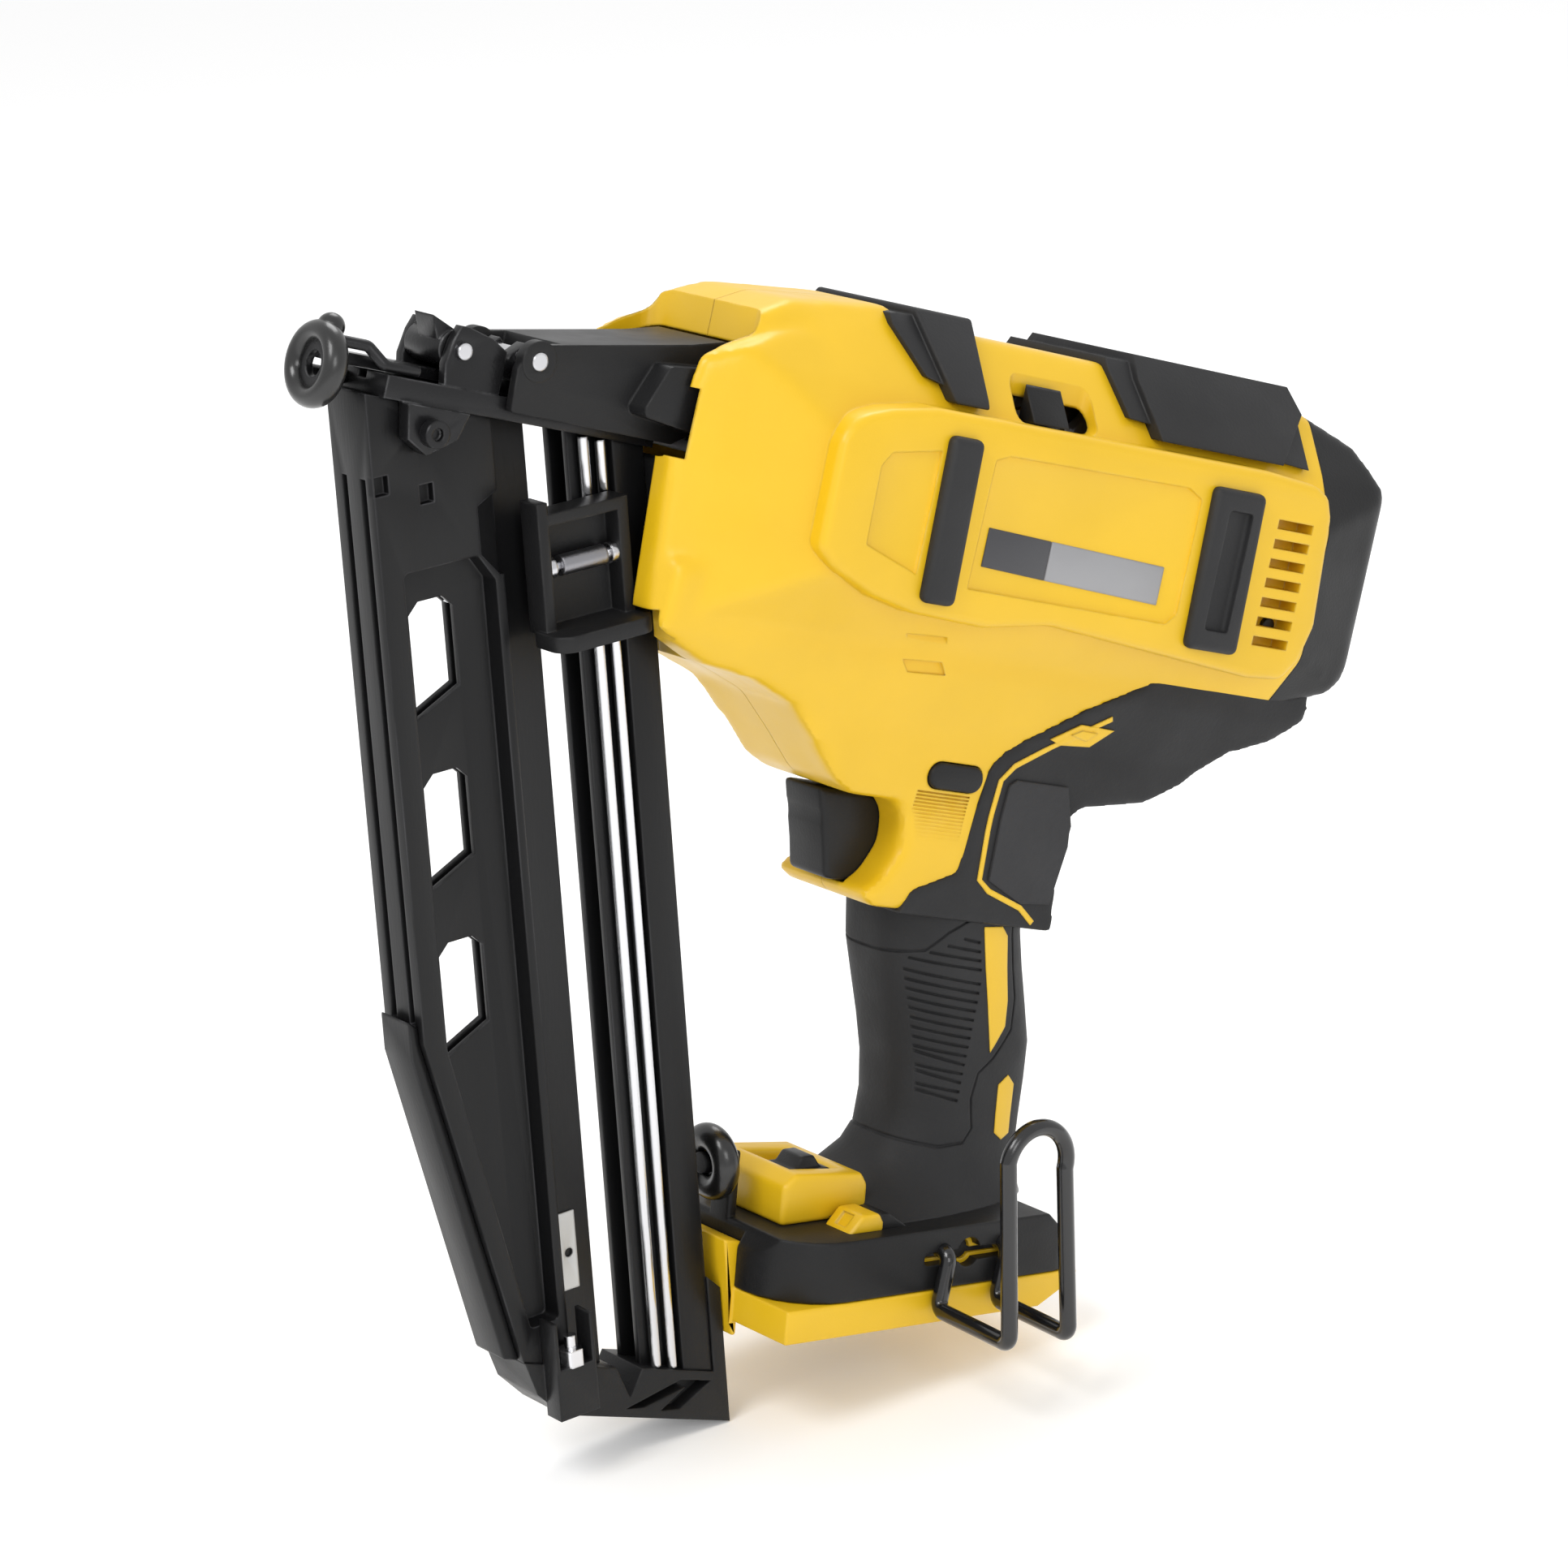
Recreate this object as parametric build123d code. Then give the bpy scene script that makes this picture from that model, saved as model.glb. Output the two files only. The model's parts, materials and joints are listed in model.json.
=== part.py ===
from build123d import *
import os
from math import sin, cos, tan, radians

# Cordless brad nailer, nose to the front (-X), magazine hanging straight down, tool's left side at -Y.
# The driver's line is tilted: it drops towards the rear by NOSE_UP.  Everything on the driver's line is
# drawn level (x along the drive, z above it) and tilted by upright(); the magazine is drawn as it hangs.
# The origin is where the soft nose tip meets the work, on the driver's line.  Millimetres.

os.makedirs("parts", exist_ok=True)

# ---- driving dimensions -------------------------------------------------------------------------
NOSE_UP = 20.0            # tilt of the driver's line against the magazine's square
CLEAR = 0.3               # gap between pieces that move past each other
RUN = 0.05                # radial running clearance of a shaft in its hole

# housing barrel
BODY_FRONT = 97.0
BODY_REAR = 334.0
BODY_TOP = 38.0
BODY_BOTTOM = -44.0
BODY_HALF = 38.0          # half width of the barrel
BODY_CROWN = 17.7         # half width of its flat top
SHOULDER = ((30.0, 21.0), (38.0, 6.0))      # half width and height down each shoulder
BELLY = ((38.0, -26.0), (26.0, -44.0))      # and round each lower edge
PANEL_RAISE = 3.5         # how far the side panels stand out
WALL = 3.0                # housing wall
BAR_RAISE = 3.0           # side bumper bars over the panels
CAP_X = 304.0             # where the black rear cap starts
BUMPER_RAISE = 4.7        # top bumpers over the barrel

# handle and foot
GRIP_HALF = 17.0
GRIP_SKIN = 2.5
NECK_HALF = 20.0
NECK_BOTTOM = -108.5
GRIP_FOOT = -186.0        # where the grip meets the foot
FOOT_X = 180.0
FOOT_Z = -222.5
FOOT_RISE = 9.5           # the foot's bottom rises towards the rear by this angle
FOOT_LENGTH = 98.0
FOOT_HALF = 35.0
BASE_THICK = 9.0
FOOT_THICK = 25.5
RAIL_HALF = 26.0          # half width of the battery socket
RAIL_LIP = 5.0            # how far each rail reaches in under the battery's shoulders
SOCKET_DEEP = 6.5

# nose, driver and drive train
GUIDE_HALF = 11.0
GUIDE_LOW = -4.5
GUIDE_TOP = 1.0
GUIDE_FRONT = 16.5
BLADE_WIDE = 3.2
BLADE_THICK = 1.6
BLADE_TIP = 84.0          # the driver's tip at rest
STROKE = 76.0
FRAME_FRONT = 114.8        # front of the cast frame round the carriage
FRAME_WALL = 2.6
FRAME_REAR = 234.0
CARRIAGE_X = 196.0        # front of the resting carriage
CARRIAGE_LONG = 26.0
CARRIAGE_HALF = 18.5
CARRIAGE_TOP = 7.0
FRAME_HALF = 24.0
ROD_Y = 13.5
ROD_Z = 1.8
ROD_R = 3.0
FLYWHEEL_X = 205.0
FLYWHEEL_R = 20.0
FLYWHEEL_TOP = -4.4       # level of the flywheel's rim under the carriage
FLYWHEEL_HALF = 13.0
FLYWHEEL_GAP = 0.7        # between the resting carriage and the flywheel
SHAFT_R = 3.0
BEARING_R = 8.0
BEARING_WIDE = 4.0
ROLLER_R = 7.0
ROLLER_PIN_R = 2.0
ROLLER_GAP = 1.2
ARM_X = 238.0
ARM_Z = 23.0
ARM_PIN_R = 2.5
SOLENOID_X = 252.0
TRIP_STOP = 152.0         # seat of the trip's spring

# contact trip, nose door and jam latch
TIP_R = 10.6
TIP_HOLE_R = 5.4
TIP_LONG = 6.5
TRIP_ROD_Y = 7.0
TRIP_ROD_Z = -1.9
TRIP_ROD_R = 1.5
TRIP_COLLAR_R = 2.6
DOOR_PIN_X = 36.0
DOOR_PIN_Z = 9.8
DOOR_PIN_R = 2.0
LATCH_PIN_X = 56.0
LATCH_PIN_Z = 10.9
LATCH_PIN_R = 2.2
LATCH_REAR = 113.0        # rear end of the latch's hood
HOOD_HALF = 14.0
WING_HALF = 21.0          # half width over the thumb wings

# trigger and buttons
TRIGGER_HALF = 8.0
LOCK_TRAVEL = 4.0
LOCK_X = 208.0
LOCK_Z = -73.5

# magazine, drawn upright
MAG_FRONT = 10.3
MAG_MID = 45.0            # where the thick front box steps down to the thin web
GAP_FRONT = 56.5
GAP_REAR = 68.5
RAIL_X = 79.5
MAG_REAR = 88.5
MAG_HALF = 8.5
MAG_WEB_HALF = 4.5
MAG_SPINE = 16.5          # rear edge of its thick front spine
MAG_STEP = 42.6           # where the thin windowed web meets the ridge of the nail channel
PANE_HALF = 2.5           # half thickness of the windowed web
NAIL_SLOT = 1.1           # half width of the nail channel
MAG_TOP = GUIDE_LOW - 0.02
END_NUT_X = 42.5
END_NUT_Z = -266.0
GUARD_THICK = 6.0
MAG_DROP = 250.0          # depth of the magazine's end below the driver's line
BRACE_START = -172.0
CAP_THICK = 13.0
SLIDE_ROD_R = 1.4
SLIDE_ROD_Y = -7.0
SLIDE_ROD_X = (72.0, 77.0)
PUSH_TOP = -43.0
PUSH_LOW = -76.0
DRUM_Y = -13.1
DRUM_Z = -60.0
DRUM_R = 2.6
DRUM_AXLE_R = 1.2
PUSH_HALF = 16.0          # how far the pusher's bracket stands out from the middle


# ---- helpers ------------------------------------------------------------------------------------
def upright(shape):
    """Tilt what is drawn along the driver's line into the tool's own frame."""
    return Rot(0, NOSE_UP, 0) * shape


def in_foot(shape):
    """Move what is drawn on the foot's own level bottom into the drive frame."""
    return Pos(FOOT_X, 0, FOOT_Z) * Rot(0, -FOOT_RISE, 0) * shape


def prism(points, y0, y1, round_off=0.0, inset=0.0):
    """A side outline of (x, z) points, standing from y0 to y1, drawn in all round by inset."""
    outline = make_face(Polyline(*points, close=True))
    if inset:
        outline = offset(outline, amount=-inset, kind=Kind.INTERSECTION)
    if round_off:
        outline = fillet(outline.vertices(), round_off)
    solid = extrude(Plane.XZ * outline, amount=y1 - y0)
    return Pos(0, y1, 0) * solid


def slab(x0, x1, y0, y1, z0, z1):
    return Pos((x0 + x1) / 2, (y0 + y1) / 2, (z0 + z1) / 2) * Box(x1 - x0, y1 - y0, z1 - z0)


def pin_y(x, z, r, y0, y1):
    """A round bar across the tool."""
    return Pos(x, (y0 + y1) / 2, z) * Rot(90, 0, 0) * Cylinder(r, y1 - y0)


def pin_x(y, z, r, x0, x1):
    """A round bar along the tool."""
    return Pos((x0 + x1) / 2, y, z) * Rot(0, 90, 0) * Cylinder(r, x1 - x0)


def pin_z(x, y, r, z0, z1):
    return Pos(x, y, (z0 + z1) / 2) * Cylinder(r, z1 - z0)


def tilt_z(x, z_drive):
    """Height, in the upright frame, of the level z_drive of the drive frame at upright x."""
    return (z_drive - x * sin(radians(NOSE_UP))) / cos(radians(NOSE_UP))


def left_of(shape):
    return shape & slab(-500, 600, -200, 0, -600, 400)


def right_of(shape):
    return shape & slab(-500, 600, 0, 200, -600, 400)


def save(shape, node):
    """Write one node, its separate solids kept apart."""
    export_step(shape, f"parts/{node}.step")


# ---- housing ------------------------------------------------------------------------------------
def barrel(inset):
    """The motor barrel, or the hollow in it, as three outlines that meet: side, top and end."""
    side = [(BODY_FRONT, BODY_BOTTOM), (BODY_FRONT - 3, 0), (BODY_FRONT, 20), (BODY_FRONT + 20, BODY_TOP - 9),
            (BODY_FRONT + 60, BODY_TOP), (BODY_REAR - 38, BODY_TOP), (BODY_REAR - 14, BODY_TOP - 8),
            (BODY_REAR, BODY_TOP - 24), (BODY_REAR, -24), (BODY_REAR - 12, -36), (BODY_REAR - 34, BODY_BOTTOM)]
    plan = [(BODY_FRONT - 4, BODY_HALF - 16), (BODY_FRONT + 8, BODY_HALF - 11), (BODY_FRONT + 40, BODY_HALF),
            (BODY_REAR - 34, BODY_HALF), (BODY_REAR - 8, BODY_HALF - 6), (BODY_REAR, BODY_HALF - 14)]
    plan += [(x, -y) for x, y in reversed(plan)]
    deck = offset(make_face(Polyline(*plan, close=True)), amount=-inset, kind=Kind.INTERSECTION)
    right = [(BODY_CROWN, BODY_TOP), *SHOULDER, *BELLY]
    end = make_face(Polyline(*right, *[(-y, z) for y, z in reversed(right)], close=True))
    end = Plane.YZ * offset(end, amount=-inset, kind=Kind.INTERSECTION)
    solid = prism(side, -BODY_HALF - 9, BODY_HALF + 9, inset=inset)
    return solid & extrude(deck, amount=120, both=True) & extrude(end, amount=BODY_REAR + 20)


def neck(inset):
    """Yellow neck between the barrel and the grip, with the chin in front and the trigger's notch."""
    outline = [(BODY_FRONT + 2, -30), (BODY_FRONT + 2, -48), (116, -54), (136, -58), (159, -67), (173, -81.5),
               (195, -82), (195, -106), (189, NECK_BOTTOM), (254, NECK_BOTTOM), (249, -82), (262, -70),
               (290, -30)]
    return prism(outline, -NECK_HALF + inset, NECK_HALF - inset, inset=inset)


def grip(inset):
    """The handle, lofted through rounded sections from the neck down to the foot."""
    stations = [(231.5, -100.0, 45.0), (233.5, -118.0, 45.0), (240.5, -138.0, 46.0),
                (246.5, -157.0, 41.0), (248.5, -172.0, 39.5), (248.0, GRIP_FOOT - 2, 42.0)]
    sections = []
    for x, z, deep in stations:
        section = RectangleRounded(deep - 2 * inset, 2 * (GRIP_HALF - inset), 13.0 - inset)
        sections.append(Pos(x, 0, z) * section)
    return loft(sections)


def stall_recess():
    return slab(196, 220, -60, -22, 19.6, 60)


def lock_slot(gap):
    bar = SlotOverall(18 + 2 * gap, 7 + 2 * gap)
    return Pos(LOCK_X, 60, LOCK_Z) * extrude(Plane.XZ * bar, amount=120)


def trigger_pocket():
    return slab(160, 206, -TRIGGER_HALF - CLEAR, TRIGGER_HALF + CLEAR, -106, -82)


def side_panels(half_sign):
    """The raised side panel, one side."""
    outline = [(131, -12), (136, 12), (150, 18), (284, 18), (299, 6), (296, -30), (284, -35),
               (205, -35), (165, -30)]
    y0, y1 = BODY_HALF - 10, BODY_HALF + PANEL_RAISE
    raised = prism(outline, y0, y1, 4.0)
    return raised if half_sign > 0 else mirror(raised, about=Plane.XZ)


def vent_slots(half_sign):
    """Seven level air slots through the panel's rear end."""
    slots = None
    for i in range(7):
        z = -24 + 5 * i
        cut = slab(279 - 0.4 * i, 292, BODY_HALF - 8, BODY_HALF + 8, z, z + 1.6)
        slots = cut if slots is None else slots + cut
    return slots if half_sign > 0 else mirror(slots, about=Plane.XZ)


def hood_space():
    """Room in the barrel's front for the jam latch and its thumb wings."""
    return slab(60, LATCH_REAR + 1.5, -WING_HALF - 0.6, WING_HALF + 0.6, GUIDE_LOW, 60)


def magazine_space():
    """Everything ahead of the magazine's back, below the guide."""
    ahead = upright_back(slab(-50, MAG_REAR + GUARD_THICK + CLEAR, -80, 80, -400, 40))
    return ahead & slab(0, 200, -80, 80, -300, GUIDE_LOW)


def foot_space():
    return in_foot(slab(-20, 120, -60, 60, -20, FOOT_THICK))


def housing():
    """The yellow clamshell in one, before it is split: barrel, neck and the core of the handle."""
    outside = barrel(0) + neck(0) + grip(GRIP_SKIN)
    for sign in (1, -1):
        outside += side_panels(sign)
    shell = outside - barrel(WALL) - neck(WALL) - grip(GRIP_SKIN + WALL)
    shell += stall_floor()
    shell -= slab(CAP_X, 400, -80, 80, -80, 80)
    shell -= slab(60, FRAME_FRONT + 4, -FRAME_HALF, FRAME_HALF, GUIDE_LOW, 12)
    for space in (hood_space(), magazine_space(), foot_space(), stall_recess(), lock_slot(CLEAR),
                  trigger_pocket()):
        shell -= space
    for sign in (1, -1):
        shell -= vent_slots(sign)
    for x, z, _ in SCREWS:
        shell -= pin_y(x, z, 2.0, -60, 60)
    return shell


# along, up and half the width of the shell there
SCREWS = ((140.0, 26.0, 24.0), (150.0, -50.0, 20.0), (252.0, 25.0, 24.0), (240.0, -62.0, 20.0),
          (290.0, -20.0, 38.0))


def under_body():
    """Black overmould: cheeks over the neck's rear, the handle's upper back and the barrel's underside."""
    outline = [(253, -36), (222, -65), (230, -76), (233, -101), (236, NECK_BOTTOM), (254, NECK_BOTTOM),
               (250.5, -84), (262, -76), (271, -73), (297, -54), (CAP_X, -47), (CAP_X, -36)]
    return prism(outline, -NECK_HALF - 1.5, NECK_HALF + 1.5) - barrel(0) - neck(0) - lock_slot(CLEAR)


def rear_cap():
    """Black cup that closes the barrel's rear, with the exhaust slots in its lower lip."""
    cup = (barrel(0) - barrel(WALL)) & slab(CAP_X, 400, -80, 80, -80, 80)
    for i in range(4):
        cup -= slab(308, 326, -22 + 12 * i, -16 + 12 * i, -70, -30)
    return cup


def top_bumper(x0, x1, z_low):
    """A rubber saddle over the barrel's top, running down both shoulders."""
    return (barrel(-BUMPER_RAISE) - barrel(0)) & slab(x0, x1, -80, 80, z_low, 80)


def side_bars(x0, x1, z0, z1, slotted):
    """The rubber bars on both side panels."""
    bars = []
    for sign in (1, -1):
        y0 = BODY_HALF + PANEL_RAISE
        bar = prism([(x0, z0), (x1, z0), (x1, z1), (x0, z1)], y0, y0 + BAR_RAISE, 3.0)
        if slotted:
            bar -= prism([(x0 + 5, z0 + 6), (x1 - 5, z0 + 6), (x1 - 5, z1 - 6), (x0 + 5, z1 - 6)],
                         y0 + 1, y0 + BAR_RAISE + 1)
        bars.append(bar if sign > 0 else mirror(bar, about=Plane.XZ))
    return Compound(children=bars)


def grip_skin():
    """Soft black overmould around the handle's core."""
    skin = grip(0) - grip(GRIP_SKIN)
    skin &= slab(150, 320, -60, 60, -260, NECK_BOTTOM)
    return skin - foot_space()


def housing_screws():
    screws = []
    for x, z, half in SCREWS:
        screws.append(pin_y(x, z, 1.95, 1 - half, half - 6))
    return Compound(children=screws)


# ---- foot ---------------------------------------------------------------------------------------
def foot_base():
    """Yellow base with the battery's rails, and the arm that holds the magazine's end."""
    base = prism([(0, 0), (85, 0), (97.5, 6.5), (97.5, BASE_THICK), (0, BASE_THICK)], -FOOT_HALF, FOOT_HALF)
    base -= slab(9, FOOT_LENGTH + 2, -RAIL_HALF, RAIL_HALF, -1, SOCKET_DEEP)
    for sign in (1, -1):
        y0, y1 = sorted((sign * RAIL_HALF, sign * (RAIL_HALF - RAIL_LIP)))
        base += slab(9, 80, y0, y1, 0, 2.2)
    arm = prism([(-14, -7), (2, -4), (2, 21), (-13, 24)], -12, 12)
    clip = Rot(0, FOOT_RISE, 0) * Pos(-FOOT_X, 0, -FOOT_Z) * Rot(0, -NOSE_UP, 0)
    behind_magazine = clip * slab(MAG_REAR + 4.5, 300, -60, 60, -400, 0)
    return in_foot(base + (arm & behind_magazine))


def foot_cover():
    """Black upper half of the foot, a hollow box under the grip."""
    cover = prism([(0, BASE_THICK), (0, 20), (5, FOOT_THICK), (90, FOOT_THICK), (98, 15), (97.5, BASE_THICK)],
                  -FOOT_HALF, FOOT_HALF)
    cover -= prism([(4, BASE_THICK), (4, 19), (8, FOOT_THICK - 3), (88, FOOT_THICK - 3), (94, 14),
                    (94, BASE_THICK)], -FOOT_HALF + 3, FOOT_HALF - 3)
    cover -= slab(-20, 2.2, -12.2, 12.2, 0, 24)
    cover -= slab(45, 75, -FOOT_HALF - 1, -FOOT_HALF + 4, 16.2, 23)
    cover += slab(2.4, 5.4, -4, 4, 20, 43) + pin_x(0, 39.8, 2.8, -5, 3)
    return in_foot(cover)


def terminal_block():
    block = slab(30, 58, -14, 14, 2.5, SOCKET_DEEP)
    for i in range(4):
        block -= slab(34, 60, -10.5 + 6 * i, -9 + 6 * i, 0, 5)
    return in_foot(block)


def control_board():
    board = slab(14, 82, -27, 27, 12, 13.6)
    for x, long_ in ((24, 12), (45, 9), (62, 14)):
        board += slab(x, x + long_, -12, 8, 13.6, 18)
    return in_foot(board)


def selector_housing():
    """Yellow block on the foot's front that carries the mode slide."""
    block = prism([(10, FOOT_THICK), (10, 36), (14, 39), (36, 37), (38, 34), (38, FOOT_THICK)], -17, 17)
    block -= slab(17, 32, -10, 10, 34, 50)
    block -= slab(20, 29, -10, 10, 31, 34.01)
    return in_foot(block)


def mode_selector():
    """Slide with a black thumb ridge, moved across the tool."""
    knob = slab(18, 31, -9.5, -9.5 + 12, 34, 37.2)
    knob += slab(20.4, 28.6, -9.5, 2.5, 31.3, 34.01)
    knob += prism([(20, 37.2), (22.5, 40.5), (26.5, 40.5), (29, 37.2)], -8, 1)
    return in_foot(knob)


def work_light():
    """Lamp with its yellow bezel on the foot's left top edge."""
    return in_foot(prism([(24, FOOT_THICK), (30, FOOT_THICK + 5), (40, FOOT_THICK)], -28, -19))


def belt_hook():
    """One bent wire: in at the foot's left side, out, up over an arch and back."""
    y_in, y_out = -FOOT_HALF + 2, -70.0
    xa, xb, low, high = 223.5, 243.0, -210.0, -163.0
    arch = (xb - xa) / 2
    run_a = [(xa + 3, y_in, -195), (xa + 3, y_in - 4.5, -195), (xa + 3, y_in - 4.5, low),
             (xa, y_out, low), (xa - 14, y_out, high)]
    run_b = [(xb + 3, y_in, -191.5), (xb + 3, y_in - 4.5, -191.5), (xb + 3, y_in - 4.5, low + 3.5),
             (xb, y_out, low + 3.5), (xb - 14, y_out, high)]
    wire_a = FilletPolyline(*run_a, radius=2.9)
    wire_b = FilletPolyline(*run_b, radius=2.9)
    top = ThreePointArc(run_a[-1], ((run_a[-1][0] + run_b[-1][0]) / 2 - 2.5, y_out, high + arch),
                        run_b[-1])
    hook = None
    for path in (wire_a, wire_b, top):
        start = Plane(origin=path @ 0, z_dir=path % 0)
        piece = sweep(start * Circle(2.2), path=path)
        hook = piece if hook is None else hook + piece
    for corner in (run_a[-1], run_b[-1]):
        hook += Pos(*corner) * Sphere(2.2)
    return hook


def spare_tip():
    """Spare soft tip parked on the front of the foot."""
    ring = Pos(172.0, 0, -183.5) * Rot(0, 75, 0) * Torus(6.6, 3.6)
    ring -= in_foot(slab(2.3, 120, -60, 60, -20, 60) + pin_x(0, 39.8, 2.8, -9, 3))
    return ring - upright_back(slab(0, MAG_REAR + 0.4, -60, 60, -400, 0))


def upright_back(shape):
    """Bring an upright shape into the drive frame."""
    return Rot(0, -NOSE_UP, 0) * shape


# ---- nose ---------------------------------------------------------------------------------------
def nose_frame():
    """Steel guide for driver and nails, with the hinge hooks of the nose door."""
    frame = slab(GUIDE_FRONT, 97, -GUIDE_HALF, GUIDE_HALF, GUIDE_LOW, GUIDE_TOP)
    groove = BLADE_WIDE / 2 + 0.2
    frame -= slab(0, 120, -groove, groove, -BLADE_THICK / 2 - 0.15, 10)
    frame -= slab(GUIDE_FRONT + 2, 86, -NAIL_SLOT, NAIL_SLOT, -10, 0)
    frame -= pin_x(TRIP_ROD_Y, TRIP_ROD_Z, TRIP_ROD_R + RUN, 0, 130)
    hook = [(33, GUIDE_TOP), (49, GUIDE_TOP), (49, 11.5), (44, 14), (37, 15.6), (34.5, 15.6), (33, 12),
            (32, 6)]
    for sign in (1, -1):
        y0, y1 = sorted((sign * 7.9, sign * 10.6))
        frame += prism(hook, y0, y1)
    frame -= pin_y(DOOR_PIN_X, DOOR_PIN_Z, DOOR_PIN_R, -20, 20)
    boss = prism([(22, GUIDE_LOW), (40, GUIDE_LOW), (38, -11), (30, -16), (24, -13)], -13.5, -9.2)
    frame += boss & prism([(22, GUIDE_LOW + 0.01), (42, GUIDE_LOW + 0.01), (42, -20), (22, -20)], -14, -9)
    frame -= pin_y(30, -10.5, 1.5, -20, -MAG_HALF)
    return frame


def door_pin():
    return pin_y(DOOR_PIN_X, DOOR_PIN_Z, DOOR_PIN_R, -12, 12)


def nose_door():
    """Door over the driver's groove: a barrel on the hinge pin, a web, a cover plate and a finger tab."""
    door = pin_y(DOOR_PIN_X, DOOR_PIN_Z, 4.6, -7.5, 7.5)
    door += prism([(DOOR_PIN_X, 6.2), (62, 5.0), (62, 8.0), (DOOR_PIN_X, 13.0)], -7.5, 7.5)
    door += slab(54, 93, -9, 9, GUIDE_TOP + 0.1, 5.2)
    door += prism([(28.5, 16.8), (31, 11.4), (36, 11), (38, 13.4)], -6.5, 1.5)
    lug = prism([(51, 5), (61, 5), (60, 10.9), (56, 14.4), (52, 10.9)], 3.5, 7.5)
    door += lug + mirror(lug, about=Plane.XZ)
    door -= pin_y(DOOR_PIN_X, DOOR_PIN_Z, DOOR_PIN_R + RUN, -20, 20)
    return door - pin_y(LATCH_PIN_X, LATCH_PIN_Z, LATCH_PIN_R, -20, 20)


def latch_pin():
    return pin_y(LATCH_PIN_X, LATCH_PIN_Z, LATCH_PIN_R, -HOOD_HALF - 0.8, HOOD_HALF + 0.8)


def jam_latch_lever():
    """The hood-shaped latch over the door: skirts down both sides, flat top, thumb wings at the rear."""
    side = [(50.5, 8), (52, 14.2), (57, 15), (100, 22), (LATCH_REAR - 2, 24.5), (LATCH_REAR, 16),
            (LATCH_REAR, 5), (100, -2.8), (51, -2.2)]
    inside = HOOD_HALF - 2.4
    hood = prism(side, -HOOD_HALF, HOOD_HALF, 1.0)
    hood -= prism([(40, -10), (40, 30), (63, 30), (63, 12), (98, 17.6), (109, 19.5), (109, 8), (120, 8),
                   (120, -10)], -inside, inside)
    wing = prism([(84, 3), (90, 16), (106, 17.5), (LATCH_REAR, 13), (LATCH_REAR, 3), (106, 0.5)],
                 HOOD_HALF - 0.1, WING_HALF, 2.0)
    hood += wing + mirror(wing, about=Plane.XZ)
    for sign in (1, -1):
        y0, y1 = sorted((sign * (inside - 0.1), sign * (HOOD_HALF + 0.6)))
        hood += pin_y(LATCH_PIN_X, LATCH_PIN_Z, 5.0, y0, y1)
    return hood - pin_y(LATCH_PIN_X, LATCH_PIN_Z, LATCH_PIN_R + RUN, -20, 20)


def contact_trip():
    """The part that is pressed on the work: front plate, top bar, link rod and the bent side wire."""
    plate = pin_x(0, 0, 8.2, 2.4, 4.4) + pin_x(TRIP_ROD_Y, TRIP_ROD_Z, 2.4, 2.4, 4.4)
    plate -= pin_x(0, 0, 3.2, 0, 10)
    bar = slab(4.3, 43.5, -5, 5, GUIDE_TOP + 0.4, GUIDE_TOP + 3.2)
    rod = pin_x(TRIP_ROD_Y, TRIP_ROD_Z, TRIP_ROD_R, 2.4, 141)
    path = FilletPolyline((4.0, -3.5, 6.6), (12.5, -6.0, 6.6), (16.5, -8.6, 2.9), (26.0, -8.6, 2.9), radius=2.0)
    wire = sweep(Plane(origin=path @ 0, z_dir=path % 0) * Circle(1.4), path=path)
    collar = pin_x(TRIP_ROD_Y, TRIP_ROD_Z, TRIP_COLLAR_R, 134, 136)
    return plate + bar + rod + wire + collar


def contact_tip():
    """Soft ring that keeps the nose from marking the work."""
    ring = pin_x(0, 0, TIP_R, 0, TIP_LONG)
    ring = fillet(ring.edges().filter_by(GeomType.CIRCLE), 2.8)
    ring -= pin_x(0, 0, TIP_HOLE_R, -2, TIP_LONG + 2)
    bulb = Pos(5.2, 0, 9.2) * Sphere(3.6)
    return ring + bulb - contact_trip()


def trip_spring():
    outer = pin_x(TRIP_ROD_Y, TRIP_ROD_Z, TRIP_COLLAR_R, 136, TRIP_STOP)
    return outer - pin_x(TRIP_ROD_Y, TRIP_ROD_Z, TRIP_ROD_R + 0.5, 130, 160)


# ---- drive train --------------------------------------------------------------------------------
def drive_frame():
    """Cast box round the carriage's run, with seats for rods, trip spring, pinch arm and solenoid."""
    frame = slab(FRAME_FRONT, FRAME_REAR, -FRAME_HALF, FRAME_HALF, GUIDE_LOW, 12)
    frame -= slab(FRAME_FRONT + FRAME_WALL, FRAME_REAR - 6, -FRAME_HALF + 4, FRAME_HALF - 4, -20, 30)
    frame -= slab(90, FRAME_FRONT + 5, -3, 3, -1.5, 30)
    for sign in (1, -1):
        frame -= pin_x(sign * ROD_Y, ROD_Z, ROD_R, FRAME_FRONT + 0.5, FRAME_REAR - 0.5)
        y0, y1 = sorted((sign * 10.5, sign * 14.0))
        x0 = FRAME_REAR - 5.99
        frame += prism([(x0, 11.9), (ARM_X + 5, 11.9), (ARM_X + 5, ARM_Z + 4), (ARM_X - 4, ARM_Z + 4),
                        (x0, 20)], y0, y1)
    frame -= pin_y(ARM_X, ARM_Z, ARM_PIN_R, -20, 20)
    frame += slab(FRAME_REAR - 0.1, SOLENOID_X, -12, 12, -4, 8) - slab(FRAME_REAR, 400, -9, 9, -5, 9)
    frame += pin_x(TRIP_ROD_Y, TRIP_ROD_Z, TRIP_COLLAR_R, TRIP_STOP, TRIP_STOP + 3)
    frame += slab(TRIP_STOP, TRIP_STOP + 3, TRIP_ROD_Y - 2, FRAME_HALF - 2, -7, -4.1)
    return frame - pin_x(TRIP_ROD_Y, TRIP_ROD_Z, TRIP_ROD_R + RUN, 90, TRIP_STOP - 1)


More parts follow.
